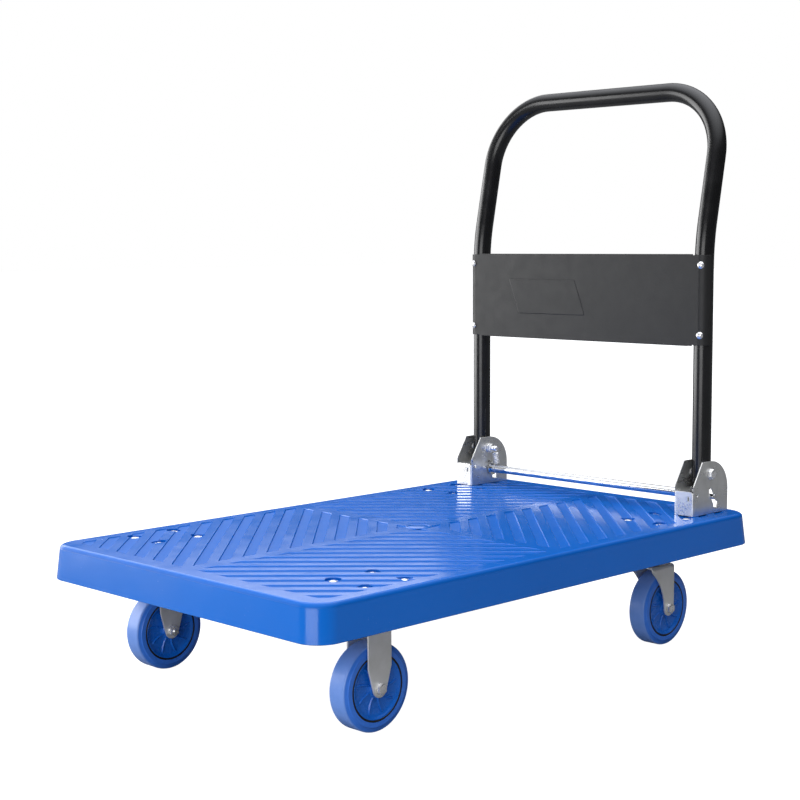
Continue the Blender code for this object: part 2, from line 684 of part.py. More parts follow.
def build_swivel_fork(name, swivel, looks):
    """Trailing fork that turns on the kingpin; the origin is on the swivel axis."""
    trail = SWIVEL_TRAIL
    front = -SWIVEL_FORK_FRONT
    back = SWIVEL_FORK_BACK
    bm = bmesh.new()
    channel(bm, (front, back), CROWN_TOP, AXLE_HEIGHT - 2 * FORK_TIP_RADIUS)
    fork = make_object(f"rear_fork_{name}", bm, looks["zinc"], (0, 0, 0), swivel)

    tip = FORK_TIP_RADIUS
    above = CROWN_TOP + CUT_MARGIN
    outline = [(back, above), (front, above)]
    corner = (front, CROWN_TOP - FORK_CROWN_DEPTH)
    pull = (0, CROWN_TOP - FORK_WAIST_DEPTH)
    outline += curve_between(corner, pull, (trail - tip, AXLE_HEIGHT + 0.26 * tip), 6)
    outline += arc((trail, AXLE_HEIGHT), tip, 190, 350, 8)
    silhouette = bmesh.new()
    prism(silhouette, outline, (-CUT_REACH, CUT_REACH), SIDE_VIEW)
    combine(fork, make_tool(f"keep_rear_fork_{name}", silhouette, (0, 0, 0), swivel), "INTERSECT")
    cuts = bmesh.new()
    z_range = (CROWN_TOP - 2 * FORK_SHEET, CROWN_TOP + CUT_MARGIN)
    add_cylinder(cuts, KINGPIN_RADIUS + TOUCH, z_range, (0, 0), 16)
    axle_turn = Matrix.Translation((trail, 0, AXLE_HEIGHT)) @ TO_Y_AXIS
    add_cylinder(cuts, AXLE_RADIUS + TOUCH, (-CUT_REACH, CUT_REACH), (0, 0), 12, axle_turn)
    combine(fork, make_tool(f"cut_rear_fork_{name}", cuts, (0, 0, 0), swivel))


def build_casters(looks):
    for name, side in SIDES:
        front = (FRONT_AXLE_X, side * WHEEL_Y, AXLE_HEIGHT)
        build_fixed_fork(name, front, looks)
        build_wheel(f"front_{name}", front, None, looks)
        build_axle(f"front_{name}", front, None, side, looks)

        build_swivel_plate(name, side, looks)
        swivel = make_empty(f"swivel_axis_{name}", (SWIVEL_X, side * WHEEL_Y, 0))
        rear = (SWIVEL_TRAIL, 0, AXLE_HEIGHT)
        build_swivel_fork(name, swivel, looks)
        build_wheel(f"rear_{name}", rear, swivel, looks)
        build_axle(f"rear_{name}", rear, swivel, side, looks)


# ---------------------------------------------------------------------- handle


def handle_stations():
    """Frames along one half of the tube, from its foot to the middle of the grip."""
    stations = []
    foot = TOUCH - FOOT_COLLAR
    bend_start = STRAIGHT_RISE - PIVOT_RISE
    for height in (foot, bend_start / 5, bend_start):
        stations.append(Matrix.Translation((0, POST_Y, height)))
    for step in range(1, 4):
        angle = LEAN_ANGLE * step / 3
        x = LEAN_BEND_RADIUS * (1 - math.cos(angle))
        z = bend_start + LEAN_BEND_RADIUS * math.sin(angle)
        turn = Matrix.Rotation(angle, 4, "Y")
        stations.append(Matrix.Translation((x, POST_Y, z)) @ turn)
    lean = Matrix.Rotation(LEAN_ANGLE, 4, "Y")
    start = stations[-1].translation
    slope_length = (GRIP_RISE - PIVOT_RISE - start.z) / math.cos(LEAN_ANGLE)
    straight = slope_length - GRIP_CORNER_RADIUS
    for step in range(0, 8):
        angle = math.radians(90) * step / 7
        along = straight + GRIP_CORNER_RADIUS * math.sin(angle)
        across = -GRIP_CORNER_RADIUS * (1 - math.cos(angle))
        offset = lean @ Vector((0, across, along))
        turn = lean @ Matrix.Rotation(angle, 4, "X")
        stations.append(Matrix.Translation(start + offset) @ turn)
    return stations


def sweep(bm, stations, radius, segments, inward=False):
    """A tube skin through the stations; returns its first and last edge loops."""
    loops = []
    for station in stations:
        ring = bmesh.ops.create_circle(bm, segments=segments, radius=radius, matrix=station)
        edges = [edge for vert in ring["verts"] for edge in vert.link_edges]
        loops.append(list(dict.fromkeys(edges)))
    faces = []
    for lower, upper in zip(loops, loops[1:]):
        faces += bmesh.ops.bridge_loops(bm, edges=lower + upper)["faces"]
    bmesh.ops.recalc_face_normals(bm, faces=faces)
    if inward:
        bmesh.ops.reverse_faces(bm, faces=faces)
    return loops[0], loops[-1]


def build_handle(looks):
    axis = make_empty("handle_axis", (PIVOT_X, 0, PIVOT_HEIGHT))
    half = handle_stations()
    mirror = Matrix.Diagonal((1, -1, 1, 1))
    flip = Matrix.Diagonal((1, 1, -1, 1))
    other = [mirror @ station @ flip for station in reversed(half)]
    bm = bmesh.new()
    outer = sweep(bm, half + other, TUBE_RADIUS, TUBE_SIDES)
    inner = sweep(bm, half + other, TUBE_RADIUS - TUBE_WALL, TUBE_SIDES, inward=True)
    for outside, inside in zip(outer, inner):
        bmesh.ops.bridge_loops(bm, edges=outside + inside)
    tube = make_object("handle_tube", bm, looks["black"], (0, 0, 0), axis)
    cuts = bmesh.new()
    for _, side in SIDES:
        turn = Matrix.Translation((0, side * POST_Y, 0)) @ TO_Y_AXIS
        add_cylinder(cuts, PIVOT_BOLT_RADIUS + TOUCH, (-CHEEK_INNER, CHEEK_INNER), (0, 0), 16, turn)
        for height in panel_screw_heights():
            place = screw_turn(side, height)
            z_range = (TUBE_RADIUS - 2 * SCREW_DEPTH, TUBE_RADIUS + CUT_MARGIN)
            add_cylinder(cuts, SCREW_HOLE_RADIUS, z_range, (0, 0), 8, place)
    combine(tube, make_tool("cut_handle_tube", cuts, (0, 0, 0), axis))

    for name, side in SIDES:
        build_foot(name, side, axis, looks)
    build_panel(axis, looks)


def build_foot(name, side, axis, looks):
    """Plastic plug in the tube's lower end, rounded about the pivot to pass the rod."""
    bore = (TUBE_RADIUS - TUBE_WALL) * math.cos(math.pi / TUBE_SIDES) - TOUCH
    profile = [(0, -FOOT_RADIUS)]
    for step in range(1, 5):
        radius = FOOT_RIM_RADIUS * step / 4
        profile.append((radius, -math.sqrt(FOOT_RADIUS ** 2 - radius ** 2)))
    top = FOOT_PLUG_LENGTH - FOOT_COLLAR
    profile += [(FOOT_RIM_RADIUS, -FOOT_COLLAR), (bore, -FOOT_COLLAR), (bore, top), (0, top)]
    bm = bmesh.new()
    lathe(bm, profile, 12, False)
    make_object(f"foot_plug_{name}", bm, looks["dark"], (0, side * POST_Y, 0), axis)


def panel_screw_heights():
    low = PANEL_BOTTOM + PANEL_SCREW_INSET - PIVOT_HEIGHT
    high = PANEL_TOP - PANEL_SCREW_INSET - PIVOT_HEIGHT
    return (low, high)


def screw_turn(side, height):
    """Local Z points forward and outward from the post, where a panel screw sits."""
    aim = Matrix.Rotation(math.radians(-90), 4, "Y")
    swing = Matrix.Rotation(-side * PANEL_SCREW_ANGLE, 4, "Z")
    return Matrix.Translation((0, side * POST_Y, height)) @ swing @ aim


def build_panel(axis, looks):
    """Sheet panel on the deck side of the posts, its ends curled round them."""
    inner = TUBE_RADIUS + TOUCH
    outer = inner + PANEL_SHEET
    wrap = math.degrees(PANEL_WRAP)
    outline = arc((0, POST_Y), outer, 180, 180 - wrap, 8)
    outline += arc((0, POST_Y), inner, 180 - wrap, 180, 8)
    outline += arc((0, -POST_Y), inner, 180, 180 + wrap, 8)
    outline += arc((0, -POST_Y), outer, 180 + wrap, 180, 8)
    low = PANEL_BOTTOM - PIVOT_HEIGHT
    high = PANEL_TOP - PIVOT_HEIGHT
    bm = bmesh.new()
    prism(bm, outline, (low, high))
    panel = make_object("handle_panel", bm, looks["black"], (0, 0, 0), axis)

    lips = bmesh.new()
    reach = POST_Y - TUBE_RADIUS - PANEL_LIP / 3
    for edge, inward in ((low, 1), (high, -1)):
        z_range = sorted((edge, edge + inward * PANEL_SHEET))
        add_box(lips, (-outer + PANEL_SHEET / 2, -outer + PANEL_LIP), (-reach, reach), z_range)
    combine(panel, make_tool("add_panel_lips", lips, (0, 0, 0), axis), "UNION")

    holes = bmesh.new()
    for _, side in SIDES:
        for height in panel_screw_heights():
            z_range = (inner - CUT_MARGIN, outer + CUT_MARGIN)
            add_cylinder(holes, SCREW_HOLE_RADIUS, z_range, (0, 0), 8, screw_turn(side, height))
    combine(panel, make_tool("cut_panel_holes", holes, (0, 0, 0), axis))

    for name, side in SIDES:
        for level, height in zip(("low", "high"), panel_screw_heights()):
            head = outer + TOUCH
            crown = head + SCREW_HEAD_HEIGHT
            profile = [
                (0, head - SCREW_DEPTH), (SCREW_RADIUS, head - SCREW_DEPTH), (SCREW_RADIUS, head),
                (SCREW_HEAD_RADIUS, head), (0.96 * SCREW_HEAD_RADIUS, head + SCREW_HEAD_HEIGHT / 2),
                (0.58 * SCREW_HEAD_RADIUS, crown - 0.08 * SCREW_HEAD_HEIGHT), (0, crown),
            ]
            bm = bmesh.new()
            lathe(bm, profile, 10, False, screw_turn(side, height))
            make_object(f"panel_screw_{name}_{level}", bm, looks["zinc"], (0, 0, 0), axis)


# -------------------------------------------------------------------- brackets


def cheek_outline():
    """Side view of a bracket, relative to the pivot in X and to the floor in Z."""
    half = BRACKET_HALF_LENGTH
    below = BRACKET_BASE - CUT_MARGIN
    outline = [(-half, below), (-half, DECK_TOP + BRACKET_FRONT_RISE)]
    outline += [(-BRACKET_SLOPE_X, BRACKET_TOP)]
    outline += arc((0, BRACKET_TOP - half), half, 90, 0, 12)
    outline += [(half, below)]
    return outline


def slot_outline():
    """Slanted slot that the rod's pins slide in, with a square pocket at its low end."""
    width = ROD_PIN_RADIUS + RUN
    points = arc((0, SLOT_UP), width, 0, 180, 6)
    pocket = width + SLOT_POCKET
    points += [(-width, -SLOT_DOWN + width), (-pocket, -SLOT_DOWN), (-width, -SLOT_DOWN - width)]
    points += [(0, -SLOT_DOWN - pocket), (width, -SLOT_DOWN - width)]
    points += [(pocket, -SLOT_DOWN), (width, -SLOT_DOWN + width)]
    return points


def build_bracket(name, side, looks):
    """One bent channel, open at the back; the origin is on the handle's pivot axis."""
    location = (PIVOT_X, side * POST_Y, 0)
    half = BRACKET_HALF_LENGTH
    bm = bmesh.new()
    bend = BRACKET_BEND
    outline = [(half, -CHEEK_OUTER), (half, -CHEEK_INNER)]
    outline += arc((-half + bend, -CHEEK_OUTER + bend), bend - BRACKET_SHEET, 270, 180, 3)
    outline += arc((-half + bend, CHEEK_OUTER - bend), bend - BRACKET_SHEET, 180, 90, 3)
    outline += [(half, CHEEK_INNER), (half, CHEEK_OUTER)]
    outline += arc((-half + bend, CHEEK_OUTER - bend), bend, 90, 180, 3)
    outline += arc((-half + bend, -CHEEK_OUTER + bend), bend, 180, 270, 3)
    prism(bm, outline, (BRACKET_BASE, BRACKET_TOP + CUT_MARGIN))
    bracket = make_object(f"bracket_{name}", bm, looks["zinc"], location)

    silhouette = bmesh.new()
    prism(silhouette, cheek_outline(), (-CUT_REACH, CUT_REACH), SIDE_VIEW)
    combine(bracket, make_tool(f"keep_bracket_{name}", silhouette, location), "INTERSECT")

    floor = bmesh.new()
    edge = CHEEK_INNER + BRACKET_SHEET / 2
    x_range = (-half + BRACKET_SHEET / 2, half - BRACKET_FLOOR_SETBACK)
    add_box(floor, x_range, (-edge, edge), (BRACKET_BASE, BRACKET_BASE + BRACKET_SHEET))
    combine(bracket, make_tool(f"add_bracket_floor_{name}", floor, location), "UNION")

    cuts = bmesh.new()
    wall_edge = CHEEK_INNER - BRACKET_SHEET / 2
    x_range = (-half - CUT_MARGIN, -half + 2 * BRACKET_BEND)
    z_range = (DECK_TOP + FRONT_WALL_RISE, BRACKET_TOP + 2 * CUT_MARGIN)
    add_box(cuts, x_range, (-wall_edge, wall_edge), z_range)
    pivot_turn = Matrix.Translation((0, 0, PIVOT_HEIGHT)) @ TO_Y_AXIS
    across = (-CUT_REACH, CUT_REACH)
    add_cylinder(cuts, PIVOT_BOLT_RADIUS + TOUCH, across, (0, 0), 16, pivot_turn)
    small_hole = Matrix.Translation((SMALL_HOLE_X, 0, DECK_TOP + SMALL_HOLE_RISE)) @ TO_Y_AXIS
    add_cylinder(cuts, SMALL_HOLE_RADIUS, across, (0, 0), 12, small_hole)
    slot_turn = Matrix.Translation((ROD_X, 0, ROD_HEIGHT)) @ Matrix.Rotation(-SLOT_TILT, 4, "Y")
    prism(cuts, slot_outline(), across, slot_turn @ SIDE_VIEW)
    for step in (-0.5, 0.5):
        place = (step * BRACKET_BOLT_STEP, 0)
        z_range = (BRACKET_BASE - CUT_MARGIN, BRACKET_BASE + BRACKET_SHEET + CUT_MARGIN)
        add_cylinder(cuts, BRACKET_BOLT_RADIUS + TOUCH, z_range, place, 12)
    combine(bracket, make_tool(f"cut_bracket_{name}", cuts, location))


def build_pivot(name, side, looks):
    """Pivot bolt from the outer cheek, its nut inside, and the spring's anchor end."""
    location = (PIVOT_X, side * POST_Y, PIVOT_HEIGHT)
    turn = TO_Y_AXIS if side > 0 else TO_Y_AXIS @ Matrix.Rotation(math.pi, 4, "X")
    head = CHEEK_OUTER + TOUCH
    tail = -CHEEK_OUTER - PIVOT_BOLT_TAIL
    bm = bmesh.new()
    prism(bm, hexagon(HEX_FLATS), (head, head + PIVOT_HEAD_HEIGHT), turn)
    bolt = make_object(f"pivot_bolt_{name}", bm, looks["zinc"], location)
    shank = bmesh.new()
    add_cylinder(shank, PIVOT_BOLT_RADIUS, (tail, head + PIVOT_HEAD_HEIGHT / 2), (0, 0), 16, turn)
    combine(bolt, make_tool(f"add_pivot_shank_{name}", shank, location), "UNION")

    bm = bmesh.new()
    prism(bm, hexagon(HEX_FLATS), (-head - NUT_HEIGHT, -head), turn)
    nut = make_object(f"pivot_nut_{name}", bm, looks["zinc"], location)
    bore = bmesh.new()
    add_cylinder(bore, PIVOT_BOLT_RADIUS + TOUCH, (tail, 0), (0, 0), 16, turn)
    combine(nut, make_tool(f"cut_pivot_nut_{name}", bore, location))


def build_bracket_bolts(name, side, looks):
    for place, step in (("front", -0.5), ("back", 0.5)):
        location = (PIVOT_X + step * BRACKET_BOLT_STEP, side * POST_Y, 0)
        seat = BRACKET_BASE + BRACKET_SHEET + TOUCH
        shank = BRACKET_BOLT_RADIUS - TOUCH
        tail = RIB_FOOT - BRACKET_BOLT_RADIUS
        head = BRACKET_BOLT_HEAD_RADIUS
        crown = seat + BRACKET_BOLT_HEAD_HEIGHT
        profile = [
            (0, tail), (shank, tail), (shank, seat), (head, seat),
            (0.96 * head, seat + 0.45 * BRACKET_BOLT_HEAD_HEIGHT),
            (0.60 * head, seat + 0.90 * BRACKET_BOLT_HEAD_HEIGHT), (0, crown),
        ]
        bm = bmesh.new()
        lathe(bm, profile, 12, False)
        make_object(f"bracket_bolt_{name}_{place}", bm, looks["zinc"], location)


# -------------------------------------------------------------------- lock rod


def build_lock_rod(looks):
    """Foot-worked rod across the cart; its thinner ends slide in the brackets' slots."""
    location = (PIVOT_X + ROD_X, 0, ROD_HEIGHT)
    body_end = POST_Y - CHEEK_OUTER - ROD_END_GAP
    pin_end = POST_Y + CHEEK_OUTER + ROD_PIN_PROUD
    profile = [
        (0, -pin_end), (ROD_PIN_RADIUS, -pin_end), (ROD_PIN_RADIUS, -body_end),
        (ROD_RADIUS, -body_end), (ROD_RADIUS, body_end), (ROD_PIN_RADIUS, body_end),
        (ROD_PIN_RADIUS, pin_end), (0, pin_end),
    ]
    bm = bmesh.new()
    lathe(bm, profile, 16, False, TO_Y_AXIS)
    make_object("lock_rod", bm, looks["chrome"], location)

    for name, side in SIDES:
        bore = ROD_RADIUS + TOUCH
        half = ROD_WASHER_SHEET / 2
        outer = ROD_RADIUS + ROD_WASHER_WIDTH
        washer_profile = [(bore, -half), (outer, -half), (outer, half), (bore, half)]
        bm = bmesh.new()
        lathe(bm, washer_profile, 16, True, TO_Y_AXIS)
        place = (location[0], side * (body_end - ROD_WASHER_SHEET), location[2])
        make_object(f"rod_washer_{name}", bm, looks["chrome"], place)


def build_springs(looks):
    """Outer shape of each return spring, hung between the pivot bolt and the rod."""
    lean = math.atan2(ROD_X, PIVOT_HEIGHT - ROD_HEIGHT)
    start = PIVOT_BOLT_RADIUS + SPRING_END_GAP
    end = ROD_REACH - ROD_RADIUS - SPRING_END_GAP
    turn = Matrix.Rotation(-lean, 4, "Y")
    for name, side in SIDES:
        bm = bmesh.new()
        add_cylinder(bm, SPRING_RADIUS, (-end, -start), (0, 0), 16, turn)
        place = (PIVOT_X, side * (POST_Y - CHEEK_OUTER - SPRING_OFFSET), PIVOT_HEIGHT)
        make_object(f"return_spring_{name}", bm, looks["zinc"], place)


# ------------------------------------------------------------------------ cart


def build_cart():
    looks = {
        "deck": make_material("blue_deck_plastic", (0.035, 0.150, 0.640), 0.28),
        "hub": make_material("blue_hub_plastic", (0.020, 0.110, 0.520), 0.35),
        "tyre": make_material("blue_tyre_rubber", (0.050, 0.170, 0.520), 0.50),
        "dark": make_material("dark_plastic", (0.015, 0.015, 0.015), 0.50),
        "zinc": make_material("zinc_plated_steel", (0.560, 0.570, 0.560), 0.30, 1.0),
        "chrome": make_material("chrome_steel", (0.750, 0.760, 0.780), 0.08, 1.0),
        "black": make_material("black_powder_coat", (0.018, 0.018, 0.020), 0.35),
    }
    build_deck(looks["deck"])
    build_casters(looks)
    build_handle(looks)
    for name, side in SIDES:
        build_bracket(name, side, looks)
        build_pivot(name, side, looks)
        build_bracket_bolts(name, side, looks)
    build_lock_rod(looks)
    build_springs(looks)


clear_scene()
build_cart()
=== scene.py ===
"""Folding platform cart: a moulded blue deck on four casters, with a fold-down push handle."""

import math

import bmesh
import bpy
from mathutils import Matrix, Vector


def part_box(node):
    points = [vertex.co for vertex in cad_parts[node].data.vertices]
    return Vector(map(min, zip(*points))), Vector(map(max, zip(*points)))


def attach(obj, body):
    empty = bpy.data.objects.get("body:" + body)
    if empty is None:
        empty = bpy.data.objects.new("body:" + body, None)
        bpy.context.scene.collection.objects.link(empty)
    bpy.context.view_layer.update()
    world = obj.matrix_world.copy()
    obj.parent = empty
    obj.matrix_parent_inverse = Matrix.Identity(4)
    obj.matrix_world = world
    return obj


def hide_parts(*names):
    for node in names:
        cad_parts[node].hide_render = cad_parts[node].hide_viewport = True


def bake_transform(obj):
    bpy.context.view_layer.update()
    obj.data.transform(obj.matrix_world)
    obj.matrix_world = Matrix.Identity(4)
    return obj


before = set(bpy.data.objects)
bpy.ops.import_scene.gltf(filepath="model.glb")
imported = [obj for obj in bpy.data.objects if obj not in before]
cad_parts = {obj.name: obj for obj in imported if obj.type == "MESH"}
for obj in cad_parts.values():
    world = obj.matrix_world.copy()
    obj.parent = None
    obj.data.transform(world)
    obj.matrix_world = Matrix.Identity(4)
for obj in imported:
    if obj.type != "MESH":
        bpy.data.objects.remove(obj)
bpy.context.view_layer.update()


# ---------------------------------------------------------------- studio
# A plain product set: a pale floor, a bright ceiling, a broad soft box on the left, a small
# one in front of the near corner and a large one behind. The camera stands low, off the
# corner of the deck that is furthest from the handle.

camera_place = Vector((-1.6251, -1.5961, 0.5998))
camera_yaw = math.radians(45.144)
camera_pitch = math.radians(5.623)
camera_roll = math.radians(-0.225)
level = math.cos(camera_pitch)
ahead = Vector((level * math.cos(camera_yaw), level * math.sin(camera_yaw), -math.sin(camera_pitch)))
right = Vector((math.sin(camera_yaw), -math.cos(camera_yaw), 0))
above = right.cross(ahead)
rolled_right = math.cos(camera_roll) * right + math.sin(camera_roll) * above
rolled_above = math.cos(camera_roll) * above - math.sin(camera_roll) * right
camera_turn = Matrix((rolled_right, rolled_above, -ahead)).transposed().to_4x4()
camera_data = bpy.data.cameras.new("camera")
camera_data.sensor_width = 36
camera_data.lens = 71.15
camera = bpy.data.objects.new("camera", camera_data)
camera.matrix_world = Matrix.Translation(camera_place) @ camera_turn
bpy.context.scene.collection.objects.link(camera)
bpy.context.scene.camera = camera
bpy.context.scene.view_settings.view_transform = "Standard"


def soft_box(name, azimuth, elevation, distance, width, height, energy, aim=(0, 0, 0.3)):
    """A rectangular light that faces the aim point from a compass bearing."""
    data = bpy.data.lights.new(name, "AREA")
    data.shape = "RECTANGLE"
    data.size = width
    data.size_y = height
    data.energy = energy
    light = bpy.data.objects.new(name, data)
    around = math.radians(azimuth)
    upward = math.radians(elevation)
    flat = distance * math.cos(upward)
    offset = Vector((flat * math.cos(around), flat * math.sin(around), distance * math.sin(upward)))
    light.location = Vector(aim) + offset
    light.rotation_euler = offset.to_track_quat("Z", "Y").to_euler()
    light.visible_camera = False
    bpy.context.scene.collection.objects.link(light)


soft_box("light_left", 111, 10, 2.4, 2.6, 1.4, 56)
soft_box("light_front", 200, 9, 2.0, 1.5, 1.15, 18)
soft_box("light_back", 66, 24, 3.6, 3.0, 1.6, 22)


def fill(tree, node, inputs):
    """Fill a node's inputs: a socket is linked, and a plain value is set."""
    for name, value in inputs.items():
        if isinstance(value, bpy.types.NodeSocket):
            tree.links.new(value, node.inputs[name])
        else:
            node.inputs[name].default_value = value
    return node


world = bpy.data.worlds.new("studio")
bpy.context.scene.world = world
world.use_nodes = True
sky = world.node_tree
bearing = sky.nodes.new("ShaderNodeTexCoord").outputs["Generated"]
upward = fill(sky, sky.nodes.new("ShaderNodeSeparateXYZ"), {"Vector": bearing}).outputs["Z"]
ceiling = fill(sky, sky.nodes.new("ShaderNodeMapRange"), {
    "Value": upward, "From Min": 0.45, "From Max": 1.00, "To Min": 0.03, "To Max": 3.00})
room = fill(sky, sky.nodes["Background"], {
    "Color": (0.93, 0.95, 1.0, 1.0), "Strength": ceiling.outputs["Result"]})
wall = fill(sky, sky.nodes.new("ShaderNodeBackground"), {"Color": (1.0, 1.0, 1.0, 1.0), "Strength": 1.0})
ray = sky.nodes.new("ShaderNodeLightPath").outputs
choose = fill(sky, sky.nodes.new("ShaderNodeMixShader"), {
    "Fac": ray["Is Camera Ray"], 1: room.outputs["Background"], 2: wall.outputs["Background"]})
fill(sky, sky.nodes["World Output"], {"Surface": choose.outputs["Shader"]})

bm = bmesh.new()
bmesh.ops.create_grid(bm, x_segments=1, y_segments=1, size=30)
floor_mesh = bpy.data.meshes.new("floor")
bm.to_mesh(floor_mesh)
bm.free()
floor = bpy.data.objects.new("floor", floor_mesh)
floor.location.z = -0.0002
bpy.context.scene.collection.objects.link(floor)
floor_paint = bpy.data.materials.new("pale_floor")
floor_paint.use_nodes = True
floor_tree = floor_paint.node_tree
ray = floor_tree.nodes.new("ShaderNodeLightPath").outputs
paint = floor_tree.nodes.new("ShaderNodeMix")
paint.data_type = "RGBA"
fill(floor_tree, paint, {
    "Factor": ray["Is Glossy Ray"], "A": (0.26, 0.26, 0.26, 1.0), "B": (0.13, 0.13, 0.13, 1.0)})
matt = fill(floor_tree, floor_tree.nodes["Principled BSDF"], {
    "Roughness": 0.75, "Base Color": paint.outputs["Result"]})
glow = fill(floor_tree, floor_tree.nodes.new("ShaderNodeEmission"), {"Strength": ray["Is Camera Ray"]})
lit = fill(floor_tree, floor_tree.nodes.new("ShaderNodeAddShader"), {
    0: matt.outputs["BSDF"], 1: glow.outputs["Emission"]})
fill(floor_tree, floor_tree.nodes["Material Output"], {"Surface": lit.outputs["Shader"]})
floor_mesh.materials.append(floor_paint)


# ---------------------------------------------------------------- deck
# One injection moulding in blue plastic, about 5 mm thick, with a flared skirt, a rounded rim
# and ribs underneath. Shallow grooves form nested diamonds on top; each caster is bolted
# through four counterbored holes.

deck_low, deck_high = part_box("deck")
deck_length = deck_high.x - deck_low.x
deck_width = deck_high.y - deck_low.y
deck_top = deck_high.z
skirt_bottom = deck_low.z
plate_low, plate_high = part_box("rear_plate_left")
rib_foot = plate_high.z + 0.0003
rim_drop = 0.0060
rim_inset = 0.0037
top_inset = 0.0100
corner_radius = 0.0340
skirt_wall = 0.0050
skirt_draft = 0.0012
top_thickness = 0.0055
rib_thickness = 0.0036
boss_radius = 0.0130
underside_top = deck_top - top_thickness
plate_x = (plate_low.x + plate_high.x) / 2
plate_y = (plate_low.y + plate_high.y) / 2
bolt_step_x = 0.0676 / 2
bolt_step_y = 0.0572 / 2
recess_radius = 0.0105
recess_depth = 0.0032
corners = ((-1, -1), (-1, 1), (1, -1), (1, 1))


def solid(name, bm, material, smooth=32):
    """A finished mesh object: normals outward, smooth faces, sharp corners kept."""
    bmesh.ops.recalc_face_normals(bm, faces=bm.faces)
    mesh = bpy.data.meshes.new(name)
    bm.to_mesh(mesh)
    bm.free()
    if material:
        mesh.materials.append(material)
    mesh.shade_smooth()
    mesh.set_sharp_from_angle(angle=math.radians(smooth))
    piece = bpy.data.objects.new(name, mesh)
    bpy.context.scene.collection.objects.link(piece)
    return piece


def cut(piece, bm, operation="DIFFERENCE"):
    """Apply a Boolean with a throwaway tool shape, and keep the result as the piece's mesh."""
    tool = solid("tool", bm, None)
    modifier = piece.modifiers.new("cut", "BOOLEAN")
    modifier.operation = operation
    modifier.object = tool
    settle(piece)
    bpy.data.objects.remove(tool, do_unlink=True)


def settle(piece):
    """Make the modifiers' result the piece's own mesh."""
    graph = bpy.context.evaluated_depsgraph_get()
    made = bpy.data.meshes.new_from_object(piece.evaluated_get(graph))
    old = piece.data
    piece.modifiers.clear()
    piece.data = made
    bpy.data.meshes.remove(old)
    made.name = piece.name


def soften(piece, width):
    """Round the sharp edges, and weight the normals so that flat faces stay flat."""
    bevel = piece.modifiers.new("soften", "BEVEL")
    bevel.width = width
    bevel.segments = 2
    bevel.limit_method = "ANGLE"
    bevel.angle_limit = math.radians(28)
    bevel.use_clamp_overlap = False
    level_normals(piece)


def level_normals(piece):
    """Weight the normals by face size, so that big flat faces shade flat."""
    weighted = piece.modifiers.new("level normals", "WEIGHTED_NORMAL")
    weighted.keep_sharp = True
    weighted.weight = 60


def block(bm, x_range, y_range, z_range):
    size = Vector((x_range[1] - x_range[0], y_range[1] - y_range[0], z_range[1] - z_range[0]))
    centre = Vector((sum(x_range), sum(y_range), sum(z_range))) / 2
    place = Matrix.Translation(centre) @ Matrix.Diagonal((*size, 1))
    return bmesh.ops.create_cube(bm, size=1, matrix=place)["verts"]


def round_bar(bm, radius, z_range, centre=(0, 0), segments=40, turn=Matrix()):
    place = Matrix.Translation((centre[0], centre[1], sum(z_range) / 2))
    bmesh.ops.create_cone(
        bm, cap_ends=True, segments=segments, radius1=radius, radius2=radius,
        depth=z_range[1] - z_range[0], matrix=turn @ place,
    )


def bevel(bm, geom, offset, segments, affect="EDGES"):
    """Round some edges or corners of a bmesh; gives the new points."""
    return bmesh.ops.bevel(bm, geom=geom, offset=offset, offset_type="OFFSET", segments=segments,
                           profile=0.5, affect=affect, material=-1)["verts"]


def climb(edge):
    """How far an edge rises from one end to the other."""
    return abs(edge.verts[0].co.z - edge.verts[1].co.z)


def only(geom, kind):
    return [item for item in geom if isinstance(item, kind)]


def cut_block(piece, x_range, y_range, z_range, turn=Matrix()):
    """Cut one rectangular opening."""
    tool = bmesh.new()
    block(tool, x_range, y_range, z_range)
    bmesh.ops.transform(tool, matrix=turn, verts=tool.verts)
    cut(piece, tool)


def drill(piece, radius, z_range, centre=(0, 0), segments=40, turn=Matrix()):
    """Cut one round hole."""
    tool = bmesh.new()
    round_bar(tool, radius, z_range, centre, segments, turn)
    cut(piece, tool)


def plate_face(bm, length, width, radius, height, segments):
    place = Matrix.Translation((0, 0, height)) @ Matrix.Diagonal((length, width, 1, 1))
    grid = bmesh.ops.create_grid(bm, x_segments=1, y_segments=1, size=0.5, matrix=place)
    bevel(bm, grid["verts"], radius, segments, "VERTICES")
    return [face for face in bm.faces if abs(face.calc_center_median().z - height) < 1e-6]


def raise_face(bm, faces, rise, inset, first=False):
    """Extrude the deck's face upward to an inset from the outline at the floor of the skirt."""
    made = bmesh.ops.extrude_face_region(bm, geom=faces)["geom"]
    if not first:
        bmesh.ops.delete(bm, geom=faces, context="FACES_ONLY")
    verts = only(made, bmesh.types.BMVert)
    reach_x = max(abs(vert.co.x) for vert in verts)
    reach_y = max(abs(vert.co.y) for vert in verts)
    grow = ((deck_length / 2 - inset) / reach_x, (deck_width / 2 - inset) / reach_y, 1)
    bmesh.ops.scale(bm, vec=grow, verts=verts)
    bmesh.ops.translate(bm, vec=(0, 0, rise), verts=verts)
    return only(made, bmesh.types.BMFace)


def deck_shell():
    bm = bmesh.new()
    foot = 0.0008
    length = deck_length - 2 * foot
    width = deck_width - 2 * foot
    face = plate_face(bm, length, width, corner_radius - foot, skirt_bottom, 14)
    face = raise_face(bm, face, foot, 0, first=True)
    face = raise_face(bm, face, deck_top - rim_drop - skirt_bottom - foot, rim_inset)
    steps = 8
    for step in range(steps):
        start = math.pi / 2 * step / steps
        end = math.pi / 2 * (step + 1) / steps
        inset = rim_inset + (top_inset - rim_inset) * (1 - math.cos(end))
        face = raise_face(bm, face, rim_drop * (math.sin(end) - math.sin(start)), inset)
    return bm


